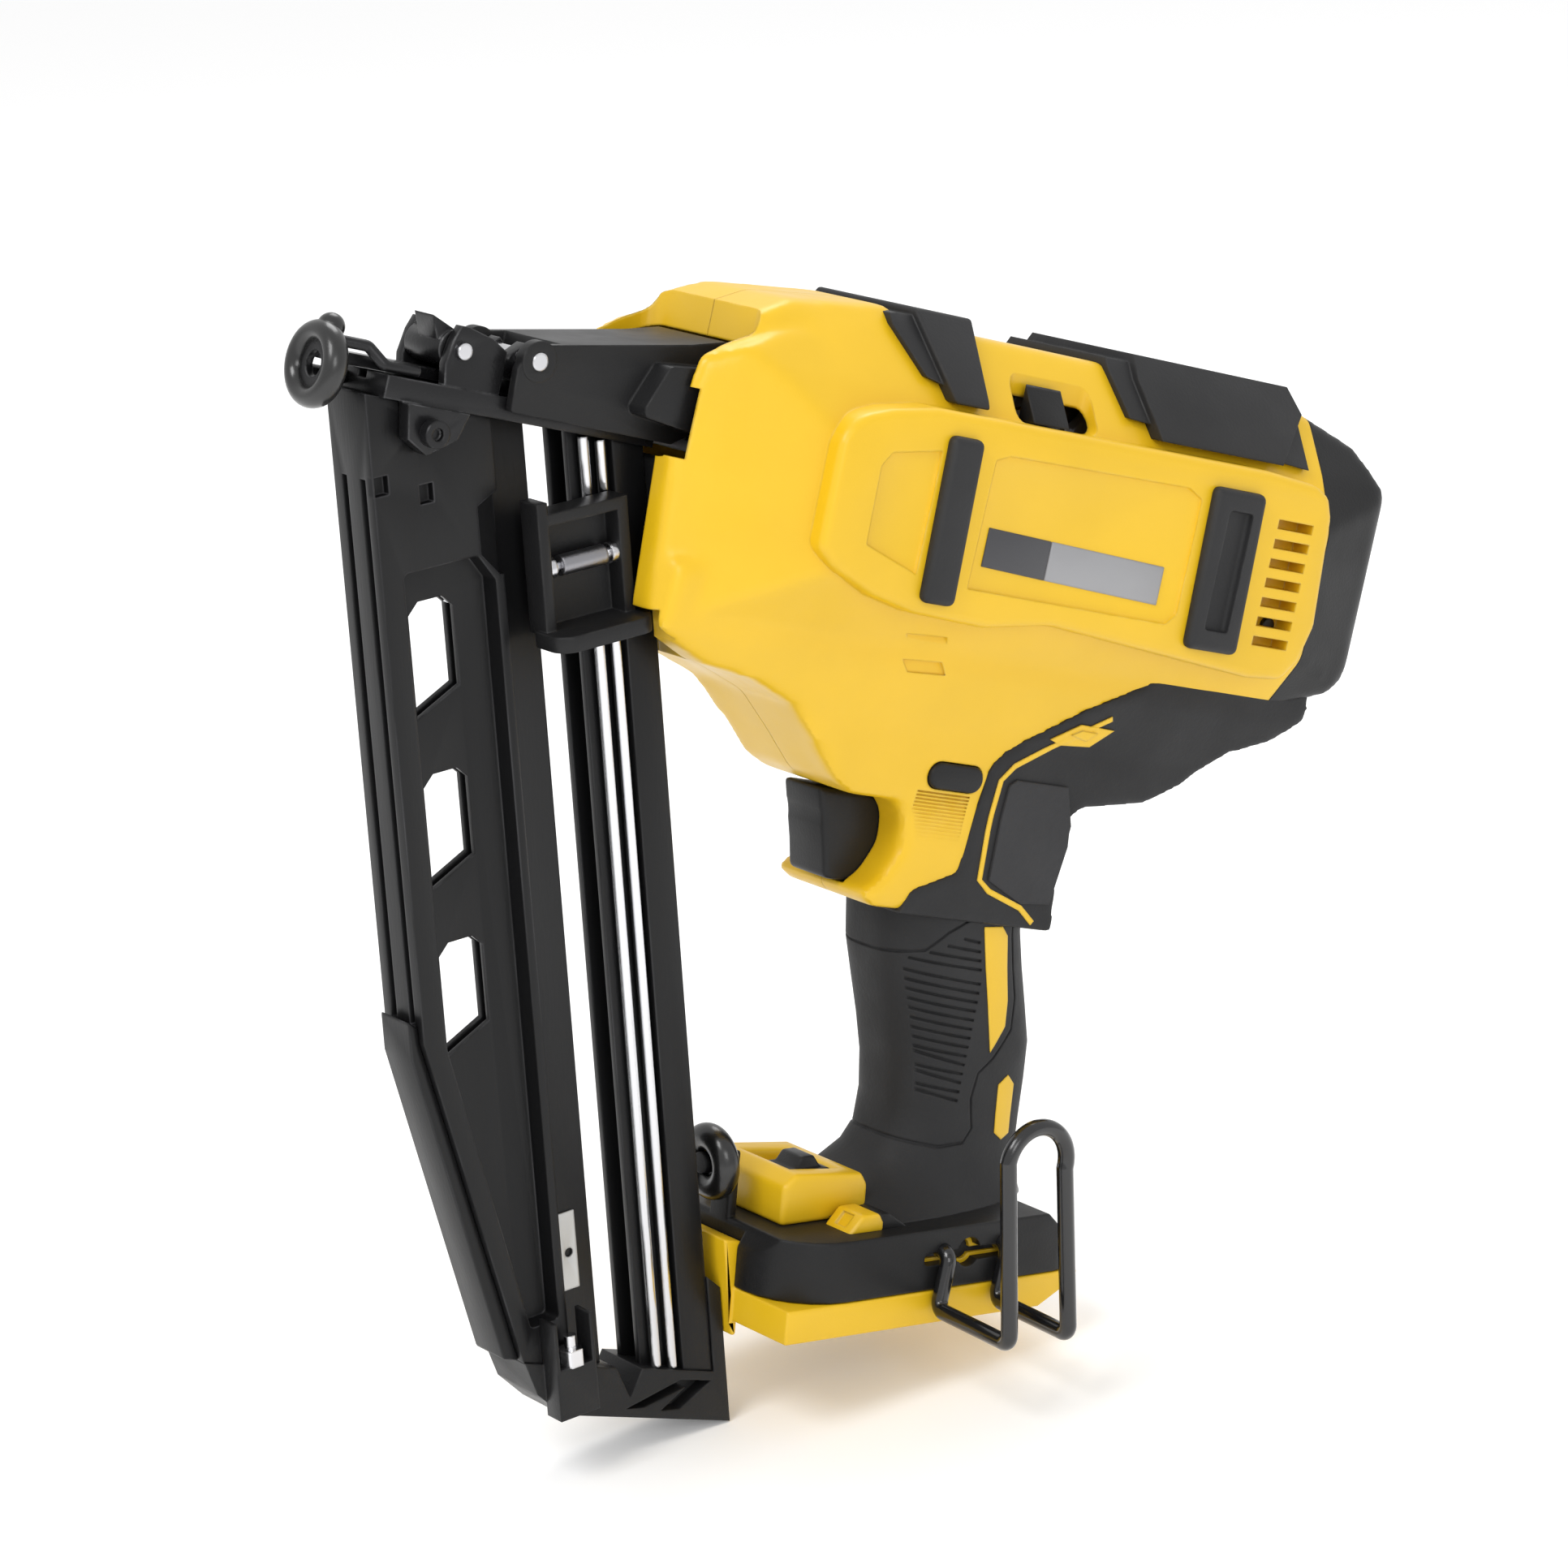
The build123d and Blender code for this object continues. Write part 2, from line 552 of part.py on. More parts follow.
def guide_rods():
    rods = [pin_x(sign * ROD_Y, ROD_Z, ROD_R, FRAME_FRONT + 0.5, FRAME_REAR - 0.5) for sign in (1, -1)]
    return Compound(children=rods)


def stop_bumpers():
    blocks = []
    for sign in (1, -1):
        y0, y1 = sorted((sign * 4.0, sign * 8.0))
        blocks.append(slab(FRAME_FRONT + FRAME_WALL, CARRIAGE_X - STROKE - CLEAR, y0, y1, 3.0, 9.0))
    return Compound(children=blocks)


def carriage():
    low = FLYWHEEL_GAP + FLYWHEEL_TOP
    body = slab(CARRIAGE_X, CARRIAGE_X + CARRIAGE_LONG, -CARRIAGE_HALF, CARRIAGE_HALF, low, CARRIAGE_TOP)
    for sign in (1, -1):
        body -= pin_x(sign * ROD_Y, ROD_Z, ROD_R + RUN, 90, 260)
    body -= slab(0, CARRIAGE_X + 10, -BLADE_WIDE / 2, BLADE_WIDE / 2, -BLADE_THICK / 2, BLADE_THICK / 2)
    return body - pin_x(TRIP_ROD_Y, TRIP_ROD_Z, 3.8, 90, CARRIAGE_X + 60)


def driver_blade():
    return slab(BLADE_TIP, CARRIAGE_X + 10, -BLADE_WIDE / 2, BLADE_WIDE / 2, -BLADE_THICK / 2, BLADE_THICK / 2)


def return_springs():
    springs = []
    for sign in (1, -1):
        outer = pin_x(sign * ROD_Y, ROD_Z, ROD_R + 1.3, FRAME_FRONT + FRAME_WALL, CARRIAGE_X)
        springs.append(outer - pin_x(sign * ROD_Y, ROD_Z, ROD_R + 0.4, 90, 230))
    return Compound(children=springs)


def flywheel_z():
    return FLYWHEEL_TOP - FLYWHEEL_R


def flywheel():
    wheel = pin_y(FLYWHEEL_X, flywheel_z(), FLYWHEEL_R, -FLYWHEEL_HALF, FLYWHEEL_HALF)
    wheel -= pin_y(FLYWHEEL_X, flywheel_z(), 15, -FLYWHEEL_HALF - 1, FLYWHEEL_HALF - 4)
    return wheel - pin_y(FLYWHEEL_X, flywheel_z(), SHAFT_R, -50, 50)


def motor_shaft():
    return pin_y(FLYWHEEL_X, flywheel_z(), SHAFT_R, -FRAME_HALF - 6, FRAME_HALF + 6)


def motor_stator():
    """Wound core inside the rotor, on a flange that stands off the left bracket."""
    core = pin_y(FLYWHEEL_X, flywheel_z(), 14.2, -20, FLYWHEEL_HALF - 5)
    core += pin_y(FLYWHEEL_X, flywheel_z(), 10, -FRAME_HALF, -19.9)
    core -= pin_y(FLYWHEEL_X, flywheel_z(), SHAFT_R + 1.0, -50, 50)
    for i in range(9):
        slot = Pos(FLYWHEEL_X, 0, flywheel_z()) * Rot(0, 40 * i, 0) * slab(11, 16, -18, 20, -1, 1)
        core -= slot
    return core


def motor_brackets():
    plates = []
    for sign in (1, -1):
        y0, y1 = sorted((sign * FRAME_HALF, sign * (FRAME_HALF + BEARING_WIDE)))
        x = FLYWHEEL_X
        plate = prism([(x - 17, 10), (x + 17, 10), (x + 17, -24), (x + 8, -33.4), (x - 5, -33.4), (x - 17, -24)],
                      y0, y1)
        plates.append(plate - pin_y(FLYWHEEL_X, flywheel_z(), BEARING_R, -50, 50))
    return Compound(children=plates)


def motor_bearings():
    rings = []
    for sign in (1, -1):
        y0, y1 = sorted((sign * FRAME_HALF, sign * (FRAME_HALF + BEARING_WIDE)))
        ring = pin_y(FLYWHEEL_X, flywheel_z(), BEARING_R, y0, y1)
        rings.append(ring - pin_y(FLYWHEEL_X, flywheel_z(), SHAFT_R + RUN, -50, 50))
    return Compound(children=rings)


def roller_z():
    return CARRIAGE_TOP + ROLLER_GAP + ROLLER_R


def pinch_roller():
    roller = pin_y(FLYWHEEL_X, roller_z(), ROLLER_R, -6, 6)
    return roller - pin_y(FLYWHEEL_X, roller_z(), ROLLER_PIN_R + RUN, -20, 20)


def pinch_arm():
    """Forked arm that presses the carriage on the flywheel, with the roller's pin."""
    dz = ARM_Z - roller_z()
    arm = None
    for sign in (1, -1):
        y0, y1 = sorted((sign * 6.4, sign * 9.6))
        cheek = prism([(FLYWHEEL_X - 5, roller_z() - 3.5), (FLYWHEEL_X - 5, roller_z() + 4), (ARM_X - 3, ARM_Z + 5),
                       (ARM_X + 5, ARM_Z + 3), (ARM_X + 4, ARM_Z - 5), (FLYWHEEL_X + 12, roller_z() + dz / 2 - 7)],
                      y0, y1)
        arm = cheek if arm is None else arm + cheek
    arm += slab(ARM_X - 14, ARM_X - 5, -9.6, 9.6, ARM_Z - 1, ARM_Z + 3)
    arm += pin_y(FLYWHEEL_X, roller_z(), ROLLER_PIN_R, -9.6, 9.6)
    return arm - pin_y(ARM_X, ARM_Z, ARM_PIN_R + RUN, -30, 30)


def arm_pin():
    return pin_y(ARM_X, ARM_Z, ARM_PIN_R, -14, 14)


def solenoid():
    coil = pin_x(0, 4, 11, SOLENOID_X, SOLENOID_X + 36) + pin_x(0, 4, 4, SOLENOID_X + 36, SOLENOID_X + 44)
    return coil + slab(SOLENOID_X, SOLENOID_X + 4, -13, 13, -9, 17)


# ---- trigger and buttons ------------------------------------------------------------------------
def trigger():
    """Finger lever with a hollowed front, sliding back into the neck."""
    outline = make_face(Polyline((176, -82.4), (200, -82.4), (200, -105.6), (183, -105.6), (176, -82.4)))
    body = Pos(0, TRIGGER_HALF, 0) * extrude(Plane.XZ * outline, amount=2 * TRIGGER_HALF)
    body += prism([(175, -82.4), (181, -82.4), (190, -105.6), (183.5, -105.6)], -TRIGGER_HALF, TRIGGER_HALF)
    body -= pin_y(164.0, -95.2, 15.0, -20, 20)
    return body - slab(194, 201, -5, 5, -100, -88)


def trigger_spring():
    return pin_x(0, -94, 3.4, 194, 207) - pin_x(0, -94, 2.4, 190, 210)


def trigger_switch():
    switch = slab(207, 228, -8, 8, -102, -86)
    return switch + slab(214, 226, -6, 6, -105.2, -101.9)


def trigger_lock():
    """Cross bar that blocks the trigger, pushed through from side to side."""
    bar = SlotOverall(18, 7)
    length = 2 * NECK_HALF + 1.0
    return Pos(LOCK_X, NECK_HALF - LOCK_TRAVEL + 2.2, LOCK_Z) * extrude(Plane.XZ * bar, amount=length - 1.2)


def stall_lever():
    """Small ribbed slide in the barrel's left shoulder."""
    lever = prism([(199, 20), (211, 20), (211, 30), (207.5, 33.5), (202, 33.5), (199, 29)], -32.5, -25)
    for x in (201.5, 204.5, 207.5):
        lever -= slab(x, x + 1.0, -34, -20, 32.5, 36)
    return lever & stall_zone()


def stall_zone():
    """The lever stays inside the barrel's own shoulder line."""
    return barrel(-0.8)


def stall_floor():
    """Floor of the lever's recess, closing the shoulder under it."""
    return slab(192, 224, -37, -20, 15.5, 19.6) & barrel(0)


# ---- magazine (upright) -------------------------------------------------------------------------
def magazine_box():
    """Front box of the magazine: spine, nail channel, three windows in a thin web, cut-off lower corner."""
    low = tilt_z(MAG_MID, end_level())
    top_front, top_rear = tilt_z(MAG_FRONT, MAG_TOP), tilt_z(GAP_FRONT, MAG_TOP)
    box = prism([(MAG_FRONT, top_front), (MAG_FRONT, BRACE_START), (31, tilt_z(31, end_level())),
                 (MAG_MID, low), (MAG_MID, tilt_z(MAG_MID, MAG_TOP))], -MAG_HALF, MAG_HALF)
    web = prism([(MAG_MID - 0.01, tilt_z(MAG_MID, MAG_TOP)), (GAP_FRONT, top_rear),
                 (GAP_FRONT, tilt_z(GAP_FRONT, end_level())), (MAG_MID - 0.01, low)],
                -MAG_WEB_HALF, MAG_WEB_HALF)
    box += web
    box -= slab(MAG_FRONT + 4, GAP_FRONT + 1, -NAIL_SLOT, NAIL_SLOT, -300, 20)
    for i in range(3):
        top = -63.4 - 43.5 * i
        window = prism([(20.5, top - 3), (23.5, top), (30.5, top), (33.5, top - 3), (33.5, top - 23),
                        (20.5, top - 29)], -20, 20)
        box -= window
    for x, z in ((12.6, -31.5), (25.0, -35.8)):
        box -= slab(x - 2, x + 2, -MAG_HALF - 1, -MAG_HALF + 2.5, z - 2.4, z + 2.4)
    for sign in (1, -1):
        box -= slab(MAG_FRONT - 1, MAG_FRONT + 2, sign * 4 - 1.2, sign * 4 + 1.2, BRACE_START + 4, -30)
    for y0, y1 in ((-MAG_HALF - 1, -PANE_HALF), (PANE_HALF, MAG_HALF + 1)):
        box -= prism([(MAG_SPINE, -54), (MAG_SPINE, -174), (34, -255), (MAG_STEP, -255), (MAG_STEP, -61),
                      (38, -54)], y0, y1, 1.5)
    step = prism([(39, -42), (47, -38), (47, -30), (58, -30), (58, -60), (44, -60), (39, -54)], -MAG_HALF - 1, -6.5)
    return box - step - upright(pin_y(30, -10.5, 1.5, -20, -3))


def magazine_brace():
    """Strap down the cut-off corner, hooked over the magazine's front edge."""
    x1, z1 = 31.0, tilt_z(31, end_level())
    strap = prism([(MAG_FRONT - 2.6, BRACE_START + 6), (MAG_FRONT, BRACE_START + 4), (MAG_FRONT, BRACE_START),
                   (x1, z1), (x1 - 4.5, z1 + 1.6), (MAG_FRONT - 2.6, BRACE_START - 4)], -6.5, 6.5)
    return strap


def end_level():
    """Level, along the drive, of the top of the magazine's end plate."""
    return -MAG_DROP + CAP_THICK


def magazine_rail():
    """Rear rail: thick back strip, two thin walls that guide the nail heads, open to the front."""
    top = tilt_z(RAIL_X, MAG_TOP)
    rail = prism([(RAIL_X, top), (MAG_REAR, tilt_z(MAG_REAR, MAG_TOP)),
                  (MAG_REAR, tilt_z(MAG_REAR, end_level())), (RAIL_X, tilt_z(RAIL_X, end_level()))],
                 -MAG_HALF, MAG_HALF)
    for sign in (1, -1):
        y0, y1 = sorted((sign * 3.2, sign * 5.0))
        rail += prism([(GAP_REAR, tilt_z(GAP_REAR, MAG_TOP)), (RAIL_X + 0.01, top),
                       (RAIL_X + 0.01, tilt_z(RAIL_X, end_level())),
                       (GAP_REAR, tilt_z(GAP_REAR, end_level()))], y0, y1)
    return rail


def slide_rods():
    rods = []
    for x in SLIDE_ROD_X:
        low, high = tilt_z(x - SLIDE_ROD_R, end_level()), tilt_z(x + SLIDE_ROD_R, MAG_TOP)
        rods.append(pin_z(x, SLIDE_ROD_Y, SLIDE_ROD_R, low, high))
    return Compound(children=rods)


def magazine_end():
    """Plate that closes the magazine's end and ties box, rail and foot together."""
    t = end_level() - 0.02
    rear = MAG_REAR + 4.0
    half = MAG_HALF + 0.5
    plate = prism([(31, tilt_z(31, t)), (rear, tilt_z(rear, t)), (rear, tilt_z(rear, -MAG_DROP)),
                   (41, tilt_z(41, -MAG_DROP)), (34, tilt_z(34, -MAG_DROP + 5))], -half, half)
    plate -= prism([(58, tilt_z(58, t) + 1), (67, tilt_z(67, t) + 1), (62, tilt_z(62, t - 8))], -20, 20)
    plate += prism([(MAG_REAR + 0.2, tilt_z(rear, t) + 28), (rear, tilt_z(rear, t) + 24), (rear, tilt_z(rear, t) - 1),
                    (MAG_REAR + 0.2, tilt_z(rear, t) - 1)], -half, half)
    for shift in (0, 11):
        a = (60 + shift, tilt_z(60 + shift, -MAG_DROP + 2))
        b = (81 + shift / 3, tilt_z(81 + shift / 3, t - 1.5))
        plate -= prism([a, (a[0] + 6, a[1] - 1.5), (b[0] + 3, b[1] - 2), (b[0] - 3, b[1])], -half - 1, -4.5)
    boss = slab(END_NUT_X - 6, END_NUT_X + 6, -half - 6, -half + 0.1, tilt_z(END_NUT_X, -MAG_DROP) + 2, END_NUT_Z)
    for x in (END_NUT_X - 6, END_NUT_X + 5):
        boss += slab(x, x + 1, -half - 6, -MAG_HALF - 0.1, END_NUT_Z - 0.1, END_NUT_Z + 13)
    return plate + boss


def end_nut():
    """Nut and stud in the pocket at the magazine's end."""
    seat = Pos(END_NUT_X, -MAG_HALF - 4.2, END_NUT_Z)
    stud = Pos(0, 0, 3.5) * Cylinder(1.6, 7)
    return seat * (extrude(RegularPolygon(3.4, 6), amount=4.5) + Pos(0, 0, 1) * stud)


def label_plate():
    """Bright steel wear plate on the magazine's web."""
    return slab(47, 52, -MAG_WEB_HALF - 0.6, -MAG_WEB_HALF, -250, -229) - pin_y(49.5, -240, 1.2, -10, 0)


def magazine_guard():
    """Cheek behind the magazine's top, between it and the housing, seated on the rail."""
    rear = MAG_REAR + GUARD_THICK
    cheek = prism([(MAG_REAR + 0.2, -39.5), (MAG_REAR + 0.2, -74), (rear - 1, -70), (rear, -46), (rear - 1.5, -40.5)],
                  -15, 15)
    return cheek


def cap_screw():
    head = upright(pin_y(30, -10.5, 3.4, -16.5, -13.5))
    head += upright(pin_y(30, -10.5, 1.5, -13.6, -4))
    return head - upright(pin_y(30, -10.5, 1.6, -18, -15))


def pusher_bracket():
    """U-shaped bracket of the pusher, out at the left, with its runner block on the two rods."""
    y_in = -MAG_HALF - CLEAR
    bracket = slab(51, 54, -PUSH_HALF, y_in, PUSH_LOW, PUSH_TOP)
    bracket += slab(74.5, 77.5, -PUSH_HALF, y_in, PUSH_LOW, PUSH_TOP - 3)
    bracket += slab(51, 77.5, -PUSH_HALF, y_in, PUSH_TOP - 6, PUSH_TOP - 3)
    bracket += slab(51, 77.5, y_in - 1.4, y_in, PUSH_LOW, PUSH_TOP - 5.9)
    shelf = fillet(Rectangle(29, 15).vertices(), 5.0)
    bracket += Pos(64.5, y_in - 7.5, PUSH_LOW - 3) * extrude(shelf, amount=4)
    runner = slab(SLIDE_ROD_X[0] - 2.2, SLIDE_ROD_X[1] + 2.2, y_in - 0.1, -5.0 - CLEAR, PUSH_LOW, PUSH_TOP - 6)
    for x in SLIDE_ROD_X:
        runner -= pin_z(x, SLIDE_ROD_Y, SLIDE_ROD_R + RUN, -120, 0)
    tongue = slab(GAP_FRONT + 1.5, GAP_REAR - 1.5, y_in - 0.1, 1.0, -66, -54)
    return bracket + runner + tongue


def nail_follower():
    """Steel blade that pushes the nail strip up the channel."""
    blade = NAIL_SLOT - 0.2
    rear = GAP_FRONT + 3
    shape = prism([(33, -54), (rear, -64), (rear, -76), (33, -66)], -blade, blade)
    return shape - slab(GAP_FRONT + 1.5, GAP_REAR, -10, 1.0, -66, -54)


def spring_drum():
    """Roll of the constant-force spring, turning in the bracket as the pusher runs."""
    roll = pin_x(DRUM_Y, DRUM_Z, DRUM_R, 58, 71)
    return roll - pin_x(DRUM_Y, DRUM_Z, DRUM_AXLE_R + RUN, 40, 90)


def drum_axle():
    """Cross shaft with collars that carries the roll."""
    axle = pin_x(DRUM_Y, DRUM_Z, DRUM_AXLE_R, 54, 74.5)
    return axle + pin_x(DRUM_Y, DRUM_Z, DRUM_R, 54, 56) + pin_x(DRUM_Y, DRUM_Z, DRUM_R, 72.5, 74.5)


def build():
    shell = housing()
    save(upright(left_of(shell)), "housing_left")
    save(upright(right_of(shell)), "housing_right")
    drive_nodes = {
        "rear_cap": rear_cap, "under_body": under_body, "grip_skin": grip_skin,
        "housing_screws": housing_screws, "foot_base": foot_base, "foot_cover": foot_cover,
        "terminal_block": terminal_block, "control_board": control_board, "selector_housing": selector_housing,
        "mode_selector": mode_selector, "work_light": work_light, "belt_hook": belt_hook, "spare_tip": spare_tip,
        "nose_frame": nose_frame, "door_pin": door_pin, "nose_door": nose_door, "latch_pin": latch_pin,
        "jam_latch_lever": jam_latch_lever, "contact_trip": contact_trip, "contact_tip": contact_tip,
        "trip_spring": trip_spring, "drive_frame": drive_frame, "guide_rods": guide_rods,
        "stop_bumpers": stop_bumpers, "driver_carriage": carriage, "driver_blade": driver_blade,
        "return_springs": return_springs, "flywheel": flywheel, "motor_shaft": motor_shaft,
        "motor_stator": motor_stator, "motor_brackets": motor_brackets, "motor_bearings": motor_bearings,
        "pinch_roller": pinch_roller, "pinch_arm": pinch_arm, "arm_pin": arm_pin, "solenoid": solenoid,
        "trigger": trigger, "trigger_spring": trigger_spring,
        "trigger_switch": trigger_switch, "trigger_lock": trigger_lock, "stall_lever": stall_lever,
    }
    for node, make in drive_nodes.items():
        save(upright(make()), node)
    save(upright(top_bumper(169, 180.5, 20)), "front_top_bumper")
    save(upright(top_bumper(244, 296, 24)), "rear_top_bumper")
    save(upright(side_bars(167, 180, -28.5, 13.5, False)), "front_side_bars")
    save(upright(side_bars(263, 278, -29, 13.5, True)), "rear_side_bars")
    upright_nodes = {
        "magazine_box": magazine_box, "magazine_brace": magazine_brace, "magazine_rail": magazine_rail,
        "slide_rods": slide_rods, "magazine_end": magazine_end, "end_nut": end_nut, "label_plate": label_plate,
        "magazine_guard": magazine_guard, "cap_screw": cap_screw, "pusher_bracket": pusher_bracket,
        "nail_follower": nail_follower, "spring_drum": spring_drum, "drum_axle": drum_axle,
    }
    for node, make in upright_nodes.items():
        save(make(), node)


build()
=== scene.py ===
import json
from math import radians, cos, sin, pi, hypot

import bpy
from mathutils import Matrix, Vector


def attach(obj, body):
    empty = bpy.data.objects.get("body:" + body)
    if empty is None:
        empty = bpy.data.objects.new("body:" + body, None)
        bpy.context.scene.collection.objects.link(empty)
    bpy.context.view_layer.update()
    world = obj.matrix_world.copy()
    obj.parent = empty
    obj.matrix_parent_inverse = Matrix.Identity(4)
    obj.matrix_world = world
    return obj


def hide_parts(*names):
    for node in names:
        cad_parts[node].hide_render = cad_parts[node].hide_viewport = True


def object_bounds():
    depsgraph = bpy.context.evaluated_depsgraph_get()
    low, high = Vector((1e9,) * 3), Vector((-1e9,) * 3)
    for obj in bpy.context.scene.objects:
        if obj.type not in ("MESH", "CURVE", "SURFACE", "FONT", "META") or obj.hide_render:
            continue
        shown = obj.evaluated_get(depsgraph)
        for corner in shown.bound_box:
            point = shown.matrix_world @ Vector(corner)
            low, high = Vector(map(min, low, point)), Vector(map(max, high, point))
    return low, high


# Cordless brad nailer.  The drive line is drawn level, in millimetres, and then tilted; the magazine
# hangs straight down.  X runs from the nose to the rear, Z up, and the tool's left side is at -Y.

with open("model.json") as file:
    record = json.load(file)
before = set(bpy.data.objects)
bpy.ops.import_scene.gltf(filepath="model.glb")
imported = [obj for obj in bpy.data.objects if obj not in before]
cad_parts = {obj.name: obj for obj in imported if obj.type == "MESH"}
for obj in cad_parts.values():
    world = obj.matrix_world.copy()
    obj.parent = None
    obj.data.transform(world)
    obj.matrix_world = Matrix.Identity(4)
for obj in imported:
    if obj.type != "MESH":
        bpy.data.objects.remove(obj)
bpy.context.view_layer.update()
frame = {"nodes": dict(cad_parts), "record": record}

MM = 0.001
NOSE_UP = radians(20)
FOOT_PLACE = (180.0, 0.0, -222.5)
FOOT_RISE = radians(9.5)
BARREL_SIDE = [(97, -44), (300, -44), (322, -36), (334, -24), (334, 14), (320, 30), (296, 38),
               (157, 38), (117, 29), (97, 20), (94, 0)]
BARREL_PLAN = [(93, -22), (105, -27), (137, -38), (300, -38), (326, -32), (334, -24),
               (334, 24), (326, 32), (300, 38), (137, 38), (105, 27), (93, 22)]
BARREL_END = [(-26, -44), (26, -44), (38, -26), (38, 6), (30, 21), (18, 38), (-18, 38), (-30, 21),
              (-38, 6), (-38, -26)]
CAP_X = 304


# ---- shaping ------------------------------------------------------------------------------------
def deselect_all():
    bpy.ops.object.select_all(action="DESELECT")


def pick(piece):
    deselect_all()
    piece.select_set(True)
    bpy.context.view_layer.objects.active = piece
    return piece


def settle(piece):
    """Move the object's place into its mesh."""
    pick(piece)
    bpy.ops.object.transform_apply(location=True, rotation=True, scale=True)
    return piece


def block(x, y, z):
    """A box between the low and high values of x, y and z."""
    deselect_all()
    middle = [(a + b) / 2 * MM for a, b in (x, y, z)]
    bpy.ops.mesh.primitive_cube_add(size=1, location=middle)
    piece = bpy.context.active_object
    piece.scale = [(b - a) * MM for a, b in (x, y, z)]
    return settle(piece)


def rod(start, end, radius, sides=32):
    """A round bar from start to end."""
    a, b = Vector(start) * MM, Vector(end) * MM
    deselect_all()
    bpy.ops.mesh.primitive_cylinder_add(vertices=sides, radius=radius * MM, depth=(b - a).length,
                                        location=(a + b) / 2)
    piece = bpy.context.active_object
    piece.rotation_euler = (b - a).to_track_quat("Z", "Y").to_euler()
    return settle(piece)


def prism(outline, axes, low, high):
    """An outline drawn in two of the axes, such as "xz", extruded between low and high along the third."""
    first, second = ("xyz".index(a) for a in axes)
    third = 3 - first - second
    deselect_all()
    bpy.ops.mesh.primitive_circle_add(vertices=len(outline), radius=1, fill_type="NGON")
    piece = bpy.context.active_object
    for vertex, point in zip(piece.data.vertices, outline):
        vertex.co[first], vertex.co[second], vertex.co[third] = point[0] * MM, point[1] * MM, low * MM
    reach = Vector((0, 0, 0))
    reach[third] = (high - low) * MM
    bpy.ops.object.mode_set(mode="EDIT")
    bpy.ops.mesh.select_all(action="SELECT")
    bpy.ops.mesh.extrude_region_move(TRANSFORM_OT_translate={"value": reach})
    bpy.ops.mesh.select_all(action="SELECT")
    bpy.ops.mesh.normals_make_consistent(inside=False)
    bpy.ops.object.mode_set(mode="OBJECT")
    return piece


def profile(outline, y_low, y_high):
    """A side outline of (x, z) points, extruded across the tool."""
    return prism(outline, "xz", y_low, y_high)


def outset(outline, grow):
    """A convex outline with every edge moved outwards by grow."""
    count = len(outline)
    area = sum(outline[i][0] * outline[(i + 1) % count][1] - outline[(i + 1) % count][0] * outline[i][1]
               for i in range(count))
    turn = 1 if area > 0 else -1
    lines = []
    for i in range(count):
        (a0, b0), (a1, b1) = outline[i], outline[(i + 1) % count]
        length = hypot(a1 - a0, b1 - b0)
        n, m = turn * (b1 - b0) / length, -turn * (a1 - a0) / length
        lines.append((n, m, n * a0 + m * b0 + grow))
    moved = []
    for i in range(count):
        (n0, m0, d0), (n1, m1, d1) = lines[i - 1], lines[i]
        across = n0 * m1 - n1 * m0
        moved.append(((d0 * m1 - d1 * m0) / across, (n0 * d1 - n1 * d0) / across))
    return moved


def shave(piece, outline, axes, grow=0.0):
    """Keep what lies inside an outline drawn in two of the axes."""
    if grow:
        outline = outset(outline, grow)
    return combine(piece, prism(outline, axes, -500, 500), "INTERSECT")


def combine(piece, other, operation):
    """Boolean with another piece, which is used up."""
    pick(piece)
    modifier = piece.modifiers.new(operation, "BOOLEAN")
    modifier.operation = operation
    modifier.solver = "EXACT"
    modifier.object = other
    bpy.ops.object.modifier_apply(modifier=modifier.name)
    bpy.data.objects.remove(other)
    return piece


def carve(piece, *cutters):
    for cutter in cutters:
        combine(piece, cutter, "DIFFERENCE")
    return piece


def fuse(piece, *others):
    for other in others:
        combine(piece, other, "UNION")
    return piece


def gather(*pieces):
    """Several loose pieces as one object."""
    deselect_all()
    for piece in pieces:
        piece.select_set(True)
    bpy.context.view_layer.objects.active = pieces[0]
    if len(pieces) > 1:
        bpy.ops.object.join()
    return bpy.context.active_object


def tidy_mesh(piece):
    """Merge doubles and melt flat facets into whole faces."""
    pick(piece)
    bpy.ops.object.mode_set(mode="EDIT")
    bpy.ops.mesh.select_all(action="SELECT")
    bpy.ops.mesh.remove_doubles(threshold=0.000005)
    bpy.ops.mesh.dissolve_limited(angle_limit=radians(0.6))
    bpy.ops.object.mode_set(mode="OBJECT")
    return piece


def soften(piece, width, segments=2, angle=32):
    """Round the edges that are sharper than the angle."""
    pick(piece)
    modifier = piece.modifiers.new("soften", "BEVEL")
    modifier.width = width * MM
    modifier.segments = segments
    modifier.limit_method = "ANGLE"
    modifier.angle_limit = radians(angle)
    modifier.use_clamp_overlap = True
    modifier.harden_normals = False
    bpy.ops.object.modifier_apply(modifier=modifier.name)
    return piece


def knit(piece, voxel, passes):
    """One smooth moulded skin over a rough body, its edges and hollows rounded."""
    pick(piece)
    skin = piece.modifiers.new("skin", "REMESH")
    skin.mode = "VOXEL"
    skin.voxel_size = voxel * MM
    bpy.ops.object.modifier_apply(modifier=skin.name)
    relax = piece.modifiers.new("relax", "SMOOTH")
    relax.factor = 0.5
    relax.iterations = passes
    bpy.ops.object.modifier_apply(modifier=relax.name)
    return piece


def ribbon(points, width):
    """A closed outline that follows a line of points."""
    left, right = [], []
    for i, (x, z) in enumerate(points):
        (x0, z0), (x1, z1) = points[max(i - 1, 0)], points[min(i + 1, len(points) - 1)]
        length = hypot(x1 - x0, z1 - z0)
        nx, nz = -(z1 - z0) / length * width / 2, (x1 - x0) / length * width / 2
        left.append((x + nx, z + nz))
        right.append((x - nx, z - nz))
    return left + right[::-1]


